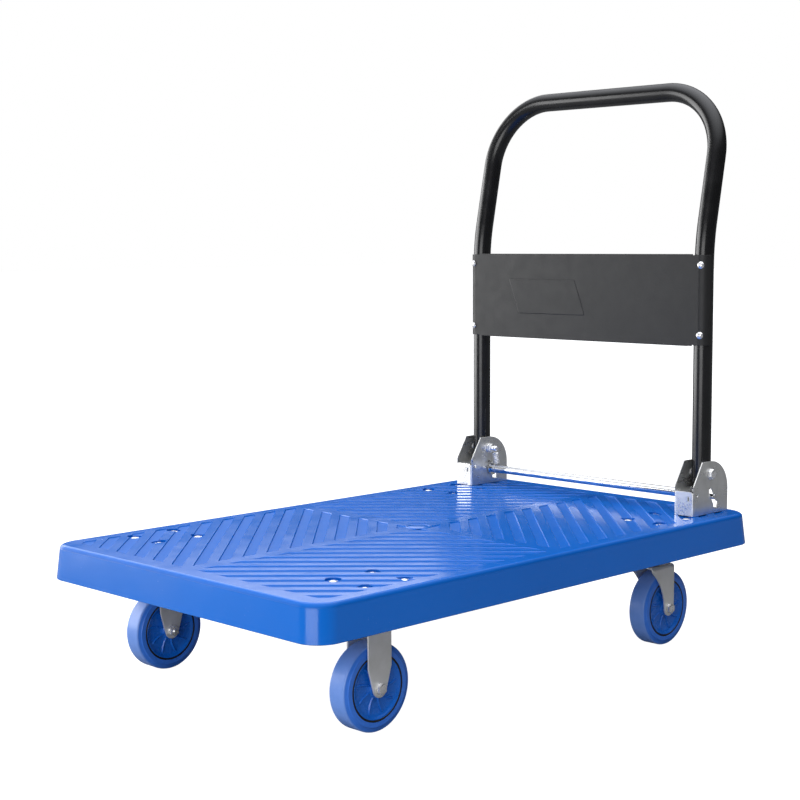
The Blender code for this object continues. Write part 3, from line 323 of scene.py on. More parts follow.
def deck_hollow():
    """The space inside the skirt, under the ribs."""
    bm = bmesh.new()
    length = deck_length - 2 * skirt_wall
    width = deck_width - 2 * skirt_wall
    face = plate_face(bm, length, width, corner_radius - skirt_wall, skirt_bottom - 0.002, 8)
    raise_face(bm, face, rib_foot - skirt_bottom + 0.002, skirt_wall, first=True)
    return bm


def deck_pockets():
    bm = bmesh.new()
    columns, rows = 6, 4
    length = deck_length - 2 * (skirt_wall + rim_inset + skirt_draft)
    width = deck_width - 2 * (skirt_wall + rim_inset + skirt_draft)
    pitch_x = (length + rib_thickness) / columns
    pitch_y = (width + rib_thickness) / rows
    corner = corner_radius / 4
    for column in range(columns):
        for row in range(rows):
            x = -length / 2 + column * pitch_x
            y = -width / 2 + row * pitch_y
            x_range = [x, x + pitch_x - rib_thickness]
            y_range = [y, y + pitch_y - rib_thickness]
            if column in (0, columns - 1) and row in (0, rows - 1):
                x_range[0 if column == 0 else 1] += corner if column == 0 else -corner
                y_range[0 if row == 0 else 1] += corner if row == 0 else -corner
            block(bm, x_range, y_range, (rib_foot - 0.002, underside_top))
    bevel(bm, [e for e in bm.edges if climb(e) > 0.01], 0.004, 3)
    return bm


def deck_tread():
    """Groove cutters: each quarter of the top is sliced along its diagonals, and every other
    strip is pushed down with a rounded shoulder and foot."""
    pitch, groove, first = 0.0410, 0.0205, 0.0340
    depth, flare = 0.0015, 0.0007
    near = 0.0105 - flare
    reach_x = deck_length / 2 - 0.0340 + flare
    reach_y = deck_width / 2 - 0.0265 + flare
    half = groove / 2 + flare * math.sqrt(2)
    bm = bmesh.new()
    size_x, size_y = reach_x - near, reach_y - near
    for side_x, side_y in corners:
        centre = (side_x * (near + size_x / 2), side_y * (near + size_y / 2), deck_top + 0.0005)
        place = Matrix.Translation(centre) @ Matrix.Diagonal((size_x, size_y, 1, 1))
        bmesh.ops.create_grid(bm, x_segments=1, y_segments=1, size=0.5, matrix=place)
    count = math.ceil((reach_x + reach_y) / pitch)
    for number in range(count):
        for edge in (-half, half):
            line = first + number * pitch + edge
            for side_x, side_y in corners:
                quarter = [f for f in bm.faces if f.calc_center_median().x * side_x > 0
                           and f.calc_center_median().y * side_y > 0]
                parts = list(dict.fromkeys(
                    [v for f in quarter for v in f.verts] + [e for f in quarter for e in f.edges]))
                bmesh.ops.bisect_plane(bm, geom=parts + quarter, dist=1e-6,
                                       plane_co=(side_x * line, 0, 0), plane_no=(side_x, side_y, 0))
    lands = []
    for face in bm.faces:
        centre = face.calc_center_median()
        place = abs(centre.x) + abs(centre.y) - first + pitch / 2
        if abs(place % pitch - pitch / 2) > half or place < 0:
            lands.append(face)
    bmesh.ops.delete(bm, geom=lands, context="FACES")
    made = bmesh.ops.extrude_face_region(bm, geom=list(bm.faces))["geom"]
    bmesh.ops.translate(bm, vec=(0, 0, -0.0005), verts=only(made, bmesh.types.BMVert))
    floors = only(made, bmesh.types.BMFace)
    steps = 5
    for step in range(steps):
        start = math.pi * step / steps
        end = math.pi * (step + 1) / steps
        drop = depth * (math.cos(start) - math.cos(end)) / 2
        bmesh.ops.inset_region(bm, faces=floors, thickness=2 * flare / steps, use_even_offset=True)
        verts = list(dict.fromkeys(v for f in floors for v in f.verts))
        bmesh.ops.translate(bm, vec=(0, 0, -drop), verts=verts)
    return bm


def caster_bolt_places(side_x, side_y):
    return [(side_x * plate_x + step_x * bolt_step_x, side_y * plate_y + step_y * bolt_step_y)
            for step_x, step_y in corners]


def bracket_bolt_places():
    places = []
    for side in ("left", "right"):
        for end in ("front", "back"):
            low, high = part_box(f"bracket_bolt_{side}_{end}")
            places.append(((low.x + high.x) / 2, (low.y + high.y) / 2))
    return places


def surface_nodes(name, metallic=0.0):
    """A new material with its node tree, shader and object coordinates ready to wire up."""
    material = bpy.data.materials.new(name)
    material.use_nodes = True
    tree = material.node_tree
    shader = tree.nodes["Principled BSDF"]
    shader.inputs["Metallic"].default_value = metallic
    place = tree.nodes.new("ShaderNodeTexCoord").outputs["Object"]
    return material, tree, shader, place


def noise(tree, place, scale, detail=3.0, stretch=None):
    """Noise on a place socket, optionally stretched along the axes; gives its value socket."""
    if stretch:
        mapping = fill(tree, tree.nodes.new("ShaderNodeMapping"), {"Scale": stretch, "Vector": place})
        place = mapping.outputs["Vector"]
    node = tree.nodes.new("ShaderNodeTexNoise")
    return fill(tree, node, {"Scale": scale, "Detail": detail, "Vector": place}).outputs["Fac"]


def remap(tree, value, low, high, start=0.3, end=0.7):
    limits = {"From Min": start, "From Max": end, "To Min": low, "To Max": high}
    node = tree.nodes.new("ShaderNodeMapRange")
    return fill(tree, node, {"Value": value, **limits}).outputs["Result"]


def mix_colours(tree, value, first, second):
    """Two colours, each fixed or from a socket, mixed by a value socket."""
    node = tree.nodes.new("ShaderNodeMix")
    node.data_type = "RGBA"
    ends = [(*colour, 1) if isinstance(colour, tuple) else colour for colour in (first, second)]
    return fill(tree, node, {"Factor": value, "A": ends[0], "B": ends[1]}).outputs["Result"]


def wire_up(tree, shader, colour, rough):
    fill(tree, shader, {"Base Color": colour, "Roughness": rough})


def add_values(tree, first, second, operation="ADD"):
    node = tree.nodes.new("ShaderNodeMath")
    node.operation = operation
    node.use_clamp = operation == "ADD"
    return fill(tree, node, {0: first, 1: second}).outputs["Value"]


def relief(tree, shader, *layers):
    """Stack bumps; each layer is a height socket and its depth in metres."""
    normal = None
    for height, depth in layers:
        bump = fill(tree, tree.nodes.new("ShaderNodeBump"), {"Distance": depth, "Height": height})
        if normal:
            tree.links.new(normal, bump.inputs["Normal"])
        normal = bump.outputs["Normal"]
    tree.links.new(normal, shader.inputs["Normal"])


def scratches(tree, place, scale, stretch, turn):
    """Fine straight marks in one direction, as a value from 0 to 1."""
    mapping = fill(tree, tree.nodes.new("ShaderNodeMapping"), {
        "Rotation": (0, 0, math.radians(turn)), "Vector": place})
    value = noise(tree, mapping.outputs["Vector"], scale, 2.0, stretch)
    return remap(tree, value, 0.0, 1.0, 0.66, 0.74)


def moulded_blue():
    """Glossy deck plastic: slight sink over the ribs, a fine skin, handling marks, and painted shade that
    darkens the groove floors and the rim.
    """
    material, tree, shader, place = surface_nodes("blue_deck_plastic")
    tone = remap(tree, noise(tree, place, 5.0), 0.0, 1.0)
    height = fill(tree, tree.nodes.new("ShaderNodeSeparateXYZ"), {"Vector": place}).outputs["Z"]
    # Painted shade: the groove floors and the rim are painted a darker blue than the lands and the skirt.
    # The same mask also makes them rougher and less shiny.
    raised = remap(tree, height, 0.0, 1.0, deck_top - 0.0014, deck_top - 0.0003)
    side = remap(tree, height, 1.0, 0.0, deck_top - 0.0070, deck_top - 0.0045)
    unshaded_gloss_mask = add_values(tree, raised, side, "MAXIMUM")
    shaded_groove_blue = mix_colours(tree, tone, (0.0010, 0.098, 0.430), (0.0014, 0.106, 0.465))
    unshaded_blue = mix_colours(tree, tone, (0.0014, 0.122, 0.525), (0.0020, 0.132, 0.565))
    cloud = remap(tree, noise(tree, place, 22.0, 5.0), 0.13, 0.19)
    cloud = add_values(tree, cloud, remap(tree, unshaded_gloss_mask, 0.24, 0.0, 0.0, 1.0))
    marks = add_values(tree, scratches(tree, place, 40.0, (1, 14, 14), 27),
                       scratches(tree, place, 36.0, (14, 1, 14), 12), "MAXIMUM")
    rough = add_values(tree, cloud, add_values(tree, marks, 0.10, "MULTIPLY"))
    wire_up(tree, shader, mix_colours(tree, unshaded_gloss_mask, shaded_groove_blue, unshaded_blue), rough)
    fill(tree, shader, {"Specular IOR Level": remap(tree, unshaded_gloss_mask, 0.12, 0.50, 0.0, 1.0)})
    relief(tree, shader, (noise(tree, place, 18.0, 1.0), 0.0004), (noise(tree, place, 900.0), 0.00002))
    return material


deck_plastic = moulded_blue()
deck = solid("deck_moulding", deck_shell(), deck_plastic)
cut(deck, deck_hollow())
cut(deck, deck_pockets())
bosses = bmesh.new()
holes = bmesh.new()
recesses = bmesh.new()
caster_places = [place for corner in corners for place in caster_bolt_places(*corner)]
for place in caster_places + bracket_bolt_places():
    round_bar(bosses, boss_radius, (rib_foot, underside_top + 0.002), place, 32)
    round_bar(holes, 0.0042, (skirt_bottom, deck_top + 0.002), place, 24)
for place in caster_places:
    round_bar(recesses, recess_radius, (deck_top - recess_depth, deck_top + 0.002), place)
cut(deck, bosses, "UNION")
cut(deck, deck_tread())
cut(deck, recesses)
cut(deck, holes)
deck.data.shade_smooth()
deck.data.set_sharp_from_angle(angle=math.radians(40))
level_normals(deck)
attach(deck, "platform")
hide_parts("deck")


# ---------------------------------------------------------------- deck badge
# A shallow round boss in the middle of the deck, where the four fans of grooves meet. It is
# the same blue plastic, moulded with the deck, with a low rim and a plain middle.


def spun(bm, profile, segments, turn=Matrix(), closed=False):
    """Spin (radius, height) points round Z, merge the seam and poles, then turn the result."""
    verts = [bm.verts.new((radius, 0, height)) for radius, height in profile]
    following = verts[1:] + verts[:1] if closed else verts[1:]
    edges = [bm.edges.new(pair) for pair in zip(verts, following)]
    bmesh.ops.spin(bm, geom=verts + edges, cent=(0, 0, 0), axis=(0, 0, 1),
                   angle=math.tau, steps=segments, use_merge=True)
    bmesh.ops.remove_doubles(bm, verts=bm.verts, dist=1e-6)
    bmesh.ops.transform(bm, matrix=turn, verts=bm.verts)


def curve(centre, radius, start, end, steps):
    """Points on an arc, with angles in degrees."""
    angles = [math.radians(start + (end - start) * step / steps) for step in range(steps + 1)]
    return [(centre[0] + radius * math.cos(a), centre[1] + radius * math.sin(a)) for a in angles]


badge_radius = 0.0190
bm = bmesh.new()
badge = [(0, -0.0010), (badge_radius, -0.0010)]
badge += curve((badge_radius - 0.0008, -0.0002), 0.0008, 0, 90, 4)
badge += curve((badge_radius - 0.0024, -0.0002), 0.0008, 90, 180, 4)
badge += [(badge_radius - 0.0036, 0.00005), (badge_radius - 0.0046, 0.0003)]
badge += [(0.0080, 0.00045), (0, 0.0005)]
spun(bm, badge, 64, Matrix.Translation((0, 0, deck_top)))
badge_disc = solid("deck_badge", bm, deck_plastic)
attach(badge_disc, "platform")


# ---------------------------------------------------------------- caster bolts
# Sixteen zinc-plated cap bolts drop through the counterbores of the deck and the caster
# plates; each has a washer and a hexagon nut underneath.


def zinc_plate(name="zinc_plated_steel", grain=(1, 1, 1), dark=(0.50, 0.51, 0.52), rough=(0.20, 0.34),
               metallic=1.0):
    """Bright zinc: cool grey with a faint spangle, rolling grain and rubbed, duller patches."""
    material, tree, shader, place = surface_nodes(name, metallic)
    cloud = noise(tree, place, 45.0, 6.0)
    light = tuple(min(0.95, channel * 1.22) for channel in dark)
    colour = mix_colours(tree, remap(tree, cloud, 0.0, 1.0), dark, light)
    streak = noise(tree, place, 260.0, 4.0, grain)
    rough_sum = add_values(tree, remap(tree, cloud, *rough), remap(tree, streak, 0.0, 0.10))
    wire_up(tree, shader, colour, rough_sum)
    relief(tree, shader, (streak, 0.000003), (noise(tree, place, 1400.0), 0.000002))
    return material


zinc = zinc_plate()
bright_zinc = zinc_plate("bright_zinc_fasteners", dark=(0.84, 0.84, 0.84), rough=(0.14, 0.22),
                         metallic=0.78)
shank = 0.0040
clear_bore = 0.0043
hex_flats = 0.0130
sides = (("left", 1), ("right", -1))


def hex_block(bm, flats, z_range, chamfer, turn=Matrix(), both=False):
    """A hexagon with its corners turned down on the outer face, and on both for a nut."""
    radius = flats / math.sqrt(3)
    height = z_range[1] - z_range[0]
    place = turn @ Matrix.Translation((0, 0, sum(z_range) / 2))
    made = bmesh.ops.create_cone(
        bm, cap_ends=True, segments=6, radius1=radius, radius2=radius, depth=height)["verts"]
    rims = [e for e in dict.fromkeys(e for v in made for e in v.link_edges)
            if climb(e) < 1e-6 and (e.verts[0].co.z > 0 or both)]
    cut_back = bevel(bm, rims, chamfer, 2)
    verts = list(dict.fromkeys(v for v in [*made, *cut_back] if v.is_valid))
    bmesh.ops.transform(bm, matrix=place, verts=verts)


def threaded_end(bm, radius, start, end, turn, pitch=0.00125):
    """The bolt's thread past its nut: a run of turned ridges with a chamfered tip."""
    outline = [(0, start), (radius - 0.0003, start)]
    z = start
    step = pitch if end > start else -pitch
    while abs(end - z) > pitch * 1.4:
        outline += [(radius, z + step * 0.45), (radius - 0.0005, z + step * 0.95)]
        z += step
    outline += [(radius - 0.0004, end - step * 0.5), (radius - 0.0011, end), (0, end)]
    spun_part(bm, outline, 24, turn)


def add_part(bm, part, turn=Matrix()):
    """Turn a finished part, and add it to a bigger piece."""
    bmesh.ops.transform(part, matrix=turn, verts=part.verts)
    mesh = bpy.data.meshes.new("part")
    part.to_mesh(mesh)
    part.free()
    bm.from_mesh(mesh)
    bpy.data.meshes.remove(mesh)


def spun_part(bm, profile, segments, turn=Matrix(), closed=False):
    """Spin a profile in a bmesh of its own, and add the result to another."""
    part = bmesh.new()
    spun(part, profile, segments, turn, closed)
    bmesh.ops.recalc_face_normals(part, faces=part.faces)
    add_part(bm, part)


def lathe(name, profile, segments, turn, material, closed=False, smooth=32):
    """A finished piece made by spinning one outline."""
    bm = bmesh.new()
    spun_part(bm, profile, segments, turn, closed)
    return solid(name, bm, material, smooth)


def washer(bm, inner, outer, z_range, turn=Matrix()):
    round_edge = min(0.0003, (z_range[1] - z_range[0]) / 3)
    low, high = z_range
    outline = [(inner, low), (outer - round_edge, low), (outer, low + round_edge),
               (outer, high - round_edge), (outer - round_edge, high), (inner, high)]
    spun_part(bm, outline, 32, turn, True)


cap_radius = 0.0056
cap_seat = deck_top - recess_depth + 0.0002
cap = [(0, -0.0080), (0.0036, -0.0080), (0.0036, 0), (cap_radius - 0.0003, 0), (cap_radius, 0.0004)]
cap += curve((0, -0.0085), 0.0102, 58, 90, 8)
under = plate_low.z - 0.0002
for end_name, end_side in (("front", -1), ("rear", 1)):
    for side_name, side in sides:
        bm = bmesh.new()
        for (x, y), (step_x, step_y) in zip(caster_bolt_places(end_side, side), corners):
            column = Matrix.Translation((x, y, 0))
            spun_part(bm, cap, 32, Matrix.Translation((x, y, cap_seat)))
            washer(bm, 0.0044, 0.0080, (under - 0.0014, under), column)
            twist = Matrix.Rotation(0.9 * x + 2.3 * y + step_x, 4, "Z")
            hex_block(bm, 0.0125, (under - 0.0074, under - 0.0015), 0.0007, column @ twist, True)
            threaded_end(bm, shank, under - 0.0070, under - 0.0100, column)
        bolts = solid(f"caster_bolts_{end_name}_{side_name}", bm, bright_zinc)
        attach(bolts, "platform")


# ---------------------------------------------------------------- forks and plates
# Zinc-plated pressings about 2.5 mm thick. The front forks are welded to their plates; the
# rear ones hang from a ball race and a riveted kingpin.


def finished_copy(node, name, material, edge):
    """A copy of a frame node with its triangles merged into faces and its edges rounded."""
    bm = bmesh.new()
    bm.from_mesh(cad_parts[node].data)
    bmesh.ops.remove_doubles(bm, verts=bm.verts, dist=1e-5)
    bmesh.ops.dissolve_limit(bm, angle_limit=math.radians(1), verts=bm.verts, edges=bm.edges)
    piece = solid(name, bm, material, 28)
    piece.data.shade_smooth()
    soften(piece, edge)
    return piece


fork_zinc = zinc_plate("zinc_fork_steel", (1, 1, 0.12), (0.84, 0.84, 0.82), (0.36, 0.46), 0.70)
for side_name in ("left", "right"):
    for node in (f"front_fork_{side_name}", f"rear_plate_{side_name}"):
        piece = finished_copy(node, f"{node}_pressing", fork_zinc, 0.0005)
        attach(piece, "platform")
        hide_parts(node)
    node = f"rear_fork_{side_name}"
    piece = finished_copy(node, f"{node}_pressing", fork_zinc, 0.0005)
    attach(piece, f"swivel_{side_name}")
    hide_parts(node)

    low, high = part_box(f"swivel_race_{side_name}")
    x, y = (low.x + high.x) / 2, (low.y + high.y) / 2
    radius = (high.x - low.x) / 2
    tall = high.z - low.z
    race = [(0.0064, low.z), (radius * 0.78, low.z), (radius * 0.84, low.z + 0.0008)]
    race += curve((radius * 0.80, low.z + tall * 0.30), radius * 0.20, -60, 80, 8)
    race += curve((radius * 0.80, low.z + tall * 0.72), radius * 0.20, -80, 60, 8)
    race += [(radius * 0.92, high.z - 0.0006), (radius * 0.90, high.z), (0.0064, high.z)]
    axis = Matrix.Translation((x, y, 0))
    piece = lathe(f"swivel_race_{side_name}_pressing", race, 64, axis, zinc, True)
    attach(piece, "platform")
    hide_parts(f"swivel_race_{side_name}")

    low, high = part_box(f"kingpin_{side_name}")
    radius = (high.x - low.x) / 2
    pin = [(0, low.z)] + curve((radius - 0.0016, low.z + 0.0016), 0.0016, -90, 0, 5)
    pin += [(radius, low.z + 0.0045), (0.0060, low.z + 0.0045), (0.0060, high.z), (0, high.z)]
    piece = lathe(f"kingpin_{side_name}_rivet", pin, 40, axis, zinc)
    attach(piece, "platform")
    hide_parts(f"kingpin_{side_name}")


# ---------------------------------------------------------------- wheels
# A tyre in softer blue moulded over a blue plastic hub, with a thin black ring between them.
# Curved ribs stand up from both faces of the hub round the axle boss.


def tyre_rubber(name, centre, radius):
    """Matt blue rubber: fine skin, faint circular mould lines, a blotchy tone, and a painted sheen that
    makes the tread paler than the sides.
    """
    material, tree, shader, place = surface_nodes(name)
    mapping = tree.nodes.new("ShaderNodeMapping")
    local = fill(tree, mapping, {"Location": -centre, "Vector": place}).outputs["Vector"]
    scuff = noise(tree, local, 60.0, 6.0)
    tone = remap(tree, scuff, 0.0, 1.0)
    # Painted sheen: the tread colours are paler than the side colours and stand in for the light on the
    # tread.
    side = mix_colours(tree, tone, (0.036, 0.190, 0.760), (0.050, 0.215, 0.830))
    tread = mix_colours(tree, tone, (0.150, 0.310, 0.790), (0.190, 0.350, 0.850))
    flat = tree.nodes.new("ShaderNodeVectorMath")
    flat.operation = "MULTIPLY"
    fill(tree, flat, {0: local, 1: (1, 0, 1)})
    out = tree.nodes.new("ShaderNodeVectorMath")
    out.operation = "LENGTH"
    fill(tree, out, {0: flat.outputs["Vector"]})
    # Painted sheen mask: 1 on the tread band near the tyre's outer radius, 0 on the sides.
    tread_sheen_mask = remap(tree, out.outputs["Value"], 0.0, 1.0, radius - 0.0022, radius - 0.0006)
    wire_up(tree, shader, mix_colours(tree, tread_sheen_mask, side, tread), remap(tree, scuff, 0.28, 0.36))
    rings = tree.nodes.new("ShaderNodeTexWave")
    rings.wave_type = "RINGS"
    rings.rings_direction = "Y"
    fill(tree, rings, {"Scale": 240.0, "Distortion": 0.4, "Vector": local})
    relief(tree, shader, (rings.outputs["Fac"], 0.00001), (noise(tree, local, 700.0), 0.00003))
    return material


def plain_plastic(name, colours, tone_scale, rough_noise, rough, skin):
    """Moulded plastic: a faint change of tone, duller patches and a fine skin."""
    material, tree, shader, place = surface_nodes(name)
    tone = remap(tree, noise(tree, place, tone_scale, 4.0), 0.0, 1.0)
    dull = remap(tree, noise(tree, place, *rough_noise), *rough)
    wire_up(tree, shader, mix_colours(tree, tone, *colours), dull)
    relief(tree, shader, (noise(tree, place, skin[0]), skin[1]))
    return material


def turned(degrees, axis):
    return Matrix.Rotation(math.radians(degrees), 4, axis)


def mirrored(profile):
    """A half outline followed by its mirror image on the other side of the middle."""
    return profile + [(radius, -height) for radius, height in reversed(profile)]


hub_blue = plain_plastic("blue_hub_plastic", ((0.005, 0.130, 0.600), (0.008, 0.150, 0.670)),
                         35.0, (90.0, 5.0), (0.22, 0.34), (600.0, 0.00002))
ring_black = plain_plastic("black_plastic", ((0.008, 0.008, 0.008), (0.016, 0.016, 0.016)),
                           80.0, (150.0, 4.0), (0.38, 0.52), (900.0, 0.00003))
upright_wheel = turned(-90, "X")
wheel_names = ("front_left", "front_right", "rear_left", "rear_right")


def hub_ribs(bm, turn):
    """Nine curved ribs on one face: each is a bar spun part-way round a point off the axle."""
    tall, wide = 0.0015, 0.0016
    start = Vector((0.0125, 0.0, 0.0))
    for number in range(9):
        part = bmesh.new()
        verts = [part.verts.new(start + Vector(offset)) for offset in
                 ((0, -wide, 0), (0, -wide * 0.35, tall), (0, wide * 0.35, tall), (0, wide, 0))]
        edges = [part.edges.new(pair) for pair in zip(verts, verts[1:])]
        bmesh.ops.spin(part, geom=verts + edges, cent=start + Vector((0.004, 0.034, 0)), axis=(0, 0, 1),
                       angle=math.radians(38), steps=10, use_merge=False)
        for vert in part.verts:
            out = Vector((vert.co.x, vert.co.y, 0)).length
            vert.co.z *= max(0.0, min(1.0, (0.0375 - out) / 0.006))
        add_part(bm, part, turn @ Matrix.Rotation(math.tau * number / 9, 4, "Z"))


for wheel_name in wheel_names:
    body = f"wheel_{wheel_name}"
    low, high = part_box(f"tyre_{wheel_name}")
    centre = (low + high) / 2
    wheel_radius = (high.z - low.z) / 2
    half = (high.y - low.y) / 2
    at_wheel = Matrix.Translation(centre) @ upright_wheel
    ring_low, ring_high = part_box(f"wheel_ring_{wheel_name}")
    seat = (ring_high.z - ring_low.z) / 2 + 0.0003
    side = [(seat, half), (wheel_radius - 0.0072, half)]
    side += curve((wheel_radius - 0.0072, half - 0.0008), 0.0008, 80, 30, 3)
    side += [(wheel_radius - 0.0052, half - 0.0016)]
    side += curve((wheel_radius - 0.0030, half - 0.0042), 0.0030, 55, 0, 6)
    side += [(wheel_radius, half - 0.0058)]
    rubber = tyre_rubber(f"blue_tyre_rubber_{wheel_name}", centre, wheel_radius)
    tyre = lathe(f"tyre_{wheel_name}_tread", mirrored(side), 128, at_wheel, rubber, True, 50)
    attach(tyre, body)
    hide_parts(f"tyre_{wheel_name}")

    ring_outer = seat - 0.0003
    ring_half = (ring_high.y - ring_low.y) / 2
    outline = [(ring_outer - 0.0022, ring_half - 0.0003), (ring_outer - 0.0019, ring_half),
               (ring_outer - 0.0003, ring_half), (ring_outer, ring_half - 0.0003)]
    ring = lathe(f"wheel_ring_{wheel_name}_seal", mirrored(outline), 128, at_wheel, ring_black, True)
    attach(ring, body)
    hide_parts(f"wheel_ring_{wheel_name}")

    rim = ring_outer - 0.0025
    face = [(0.0066, ring_half), (0.0105, ring_half)]
    face += curve((0.0105, ring_half - 0.0008), 0.0008, 90, 20, 3)
    face += [(0.0135, ring_half - 0.0026), (0.0180, ring_half - 0.0029), (0.0300, ring_half - 0.0029)]
    face += [(0.0350, ring_half - 0.0024), (0.0372, ring_half - 0.0012), (0.0384, ring_half - 0.0003)]
    face += [(0.0392, ring_half), (rim - 0.0003, ring_half), (rim, ring_half - 0.0003)]
    bm = bmesh.new()
    spun(bm, mirrored(face), 128, at_wheel, True)
    for flip in (0, math.pi):
        other_way = at_wheel @ Matrix.Rotation(flip, 4, "X")
        hub_ribs(bm, other_way @ Matrix.Translation((0, 0, ring_half - 0.0028)))
    hub = solid(f"hub_{wheel_name}_moulding", bm, hub_blue, 40)
    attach(hub, body)
    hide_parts(f"hub_{wheel_name}")


# ---------------------------------------------------------------- axles
# Each wheel turns on a steel bush over a zinc-plated bolt, with a hexagon head outside
# and a nut on the inner side of the fork.

for wheel_name in wheel_names:
    outward = 1 if wheel_name.endswith("left") else -1
    body = "platform" if wheel_name.startswith("front") else f"swivel_{wheel_name[5:]}"
    low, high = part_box(f"axle_bolt_{wheel_name}")
    nut_low, nut_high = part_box(f"axle_nut_{wheel_name}")
    wheel_y = sum(corner.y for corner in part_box(f"tyre_{wheel_name}")) / 2
    centre = Vector(((low.x + high.x) / 2, wheel_y, (low.z + high.z) / 2))
    flip = Matrix() if outward > 0 else Matrix.Rotation(math.pi, 4, "X")
    axle = Matrix.Translation(centre) @ upright_wheel @ flip
    head_end = high.y - wheel_y if outward > 0 else wheel_y - low.y
    tail_end = wheel_y - low.y if outward > 0 else high.y - wheel_y
    seat, nut_end = sorted(abs(corner.y - wheel_y) for corner in (nut_low, nut_high))
    bm = bmesh.new()
    washer(bm, clear_bore, 0.0072, (seat, seat + 0.0006), axle)
    hex_block(bm, hex_flats, (seat + 0.0006, head_end), 0.0007, axle)
    round_bar(bm, shank, (-seat, seat + 0.0010), (0, 0), 24, axle)
    threaded_end(bm, shank, -seat, -tail_end, axle)
    bolt = solid(f"axle_bolt_{wheel_name}_hex", bm, bright_zinc)
    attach(bolt, body)
    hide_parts(f"axle_bolt_{wheel_name}")

    bm = bmesh.new()
    hex_block(bm, hex_flats, (-nut_end, -seat - 0.0006), 0.0007, axle, True)
    washer(bm, clear_bore, 0.0072, (-seat - 0.0006, -seat), axle)
    nut = solid(f"axle_nut_{wheel_name}_hex", bm, bright_zinc)
    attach(nut, body)
    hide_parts(f"axle_nut_{wheel_name}")

    low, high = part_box(f"axle_bush_{wheel_name}")
    length = (high.y - low.y) / 2
    outline = [(clear_bore, -length), (0.0058, -length), (0.0062, -length + 0.0004)]
    outline += [(0.0062, length - 0.0004), (0.0058, length), (clear_bore, length)]
    bush = lathe(f"axle_bush_{wheel_name}_sleeve", outline, 32, axle, zinc, True)
    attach(bush, body)
    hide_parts(f"axle_bush_{wheel_name}")


# ---------------------------------------------------------------- handle
# One steel tube bent into a loop and coated in satin black powder. Its feet stand between the
# brackets' cheeks on the pivot bolts, and a rounded plastic plug closes each foot.


def powder_coat(name, dark, light, rough=(0.20, 0.26), shine=0.5):
    """Satin powder coat: an orange-peel skin, with faint rubbing and dust."""
    material, tree, shader, place = surface_nodes(name)
    shader.inputs["Specular IOR Level"].default_value = shine
    tone = remap(tree, noise(tree, place, 28.0, 6.0), 0.0, 1.0)
    cloud = remap(tree, noise(tree, place, 60.0, 5.0), *rough)
    rubbed = add_values(tree, scratches(tree, place, 60.0, (8, 8, 1), 10), 0.06, "MULTIPLY")
    wire_up(tree, shader, mix_colours(tree, tone, dark, light), add_values(tree, cloud, rubbed))
    relief(tree, shader, (noise(tree, place, 420.0, 1.0), 0.000004), (noise(tree, place, 1600.0), 0.000002))
    return material


black_coat = powder_coat("black_powder_coat", (0.0075, 0.0075, 0.0080), (0.0125, 0.0125, 0.0130))
pivot_low, pivot_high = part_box("pivot_nut_left")
pivot_x = (pivot_low.x + pivot_high.x) / 2
pivot_z = (pivot_low.z + pivot_high.z) / 2
plug_low, plug_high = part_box("foot_plug_left")
post_y = (plug_low.y + plug_high.y) / 2
tube_low, tube_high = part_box("handle_tube")
foot_end = tube_low.z
handle_top = tube_high.z
tube_radius = 0.0144
tube_wall = 0.0015
lean_angle = math.radians(11.7)
lean_radius = 0.340
lean_start = deck_top + 0.3750
grip_radius = 0.1036


def half_loop():
    """Frames along one half of the loop, from the foot to where the grip runs straight."""
    frames = [Matrix.Translation((pivot_x, post_y, z)) for z in (foot_end, pivot_z, lean_start)]
    for step in range(1, 11):
        angle = lean_angle * step / 10
        x = pivot_x + lean_radius * (1 - math.cos(angle))
        z = lean_start + lean_radius * math.sin(angle)
        frames.append(Matrix.Translation((x, post_y, z)) @ Matrix.Rotation(angle, 4, "Y"))
    lean = Matrix.Rotation(lean_angle, 4, "Y")
    start = frames[-1].translation
    slope = (handle_top - tube_radius - start.z) / math.cos(lean_angle) - grip_radius
    for step in range(25):
        angle = math.radians(90) * step / 24
        along = slope + grip_radius * math.sin(angle)
        across = -grip_radius * (1 - math.cos(angle))
        turn = lean @ Matrix.Rotation(angle, 4, "X")
        frames.append(Matrix.Translation(start + lean @ Vector((0, across, along))) @ turn)
    return frames


def tube_skin(bm, frames, radius, segments, inward=False):
    loops = []
    for place in frames:
        ring = bmesh.ops.create_circle(bm, segments=segments, radius=radius, matrix=place)["verts"]
        loops.append(list(dict.fromkeys(edge for vert in ring for edge in vert.link_edges)))
    faces = []
    for lower, upper in zip(loops, loops[1:]):
        faces += bmesh.ops.bridge_loops(bm, edges=lower + upper)["faces"]
    bmesh.ops.recalc_face_normals(bm, faces=faces)
    if inward:
        bmesh.ops.reverse_faces(bm, faces=faces)
    return loops[0], loops[-1]


half = half_loop()
across_cart = Matrix.Diagonal((1, -1, 1, 1))
other = [across_cart @ place @ Matrix.Diagonal((1, 1, -1, 1)) for place in reversed(half)]
bm = bmesh.new()
outside = tube_skin(bm, half + other, tube_radius, 48)
inside = tube_skin(bm, half + other, tube_radius - tube_wall, 48, True)
for outer_rim, inner_rim in zip(outside, inside):
    bmesh.ops.bridge_loops(bm, edges=outer_rim + inner_rim)
tube = solid("handle_tube_coated", bm, black_coat, 50)
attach(tube, "handle")
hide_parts("handle_tube")

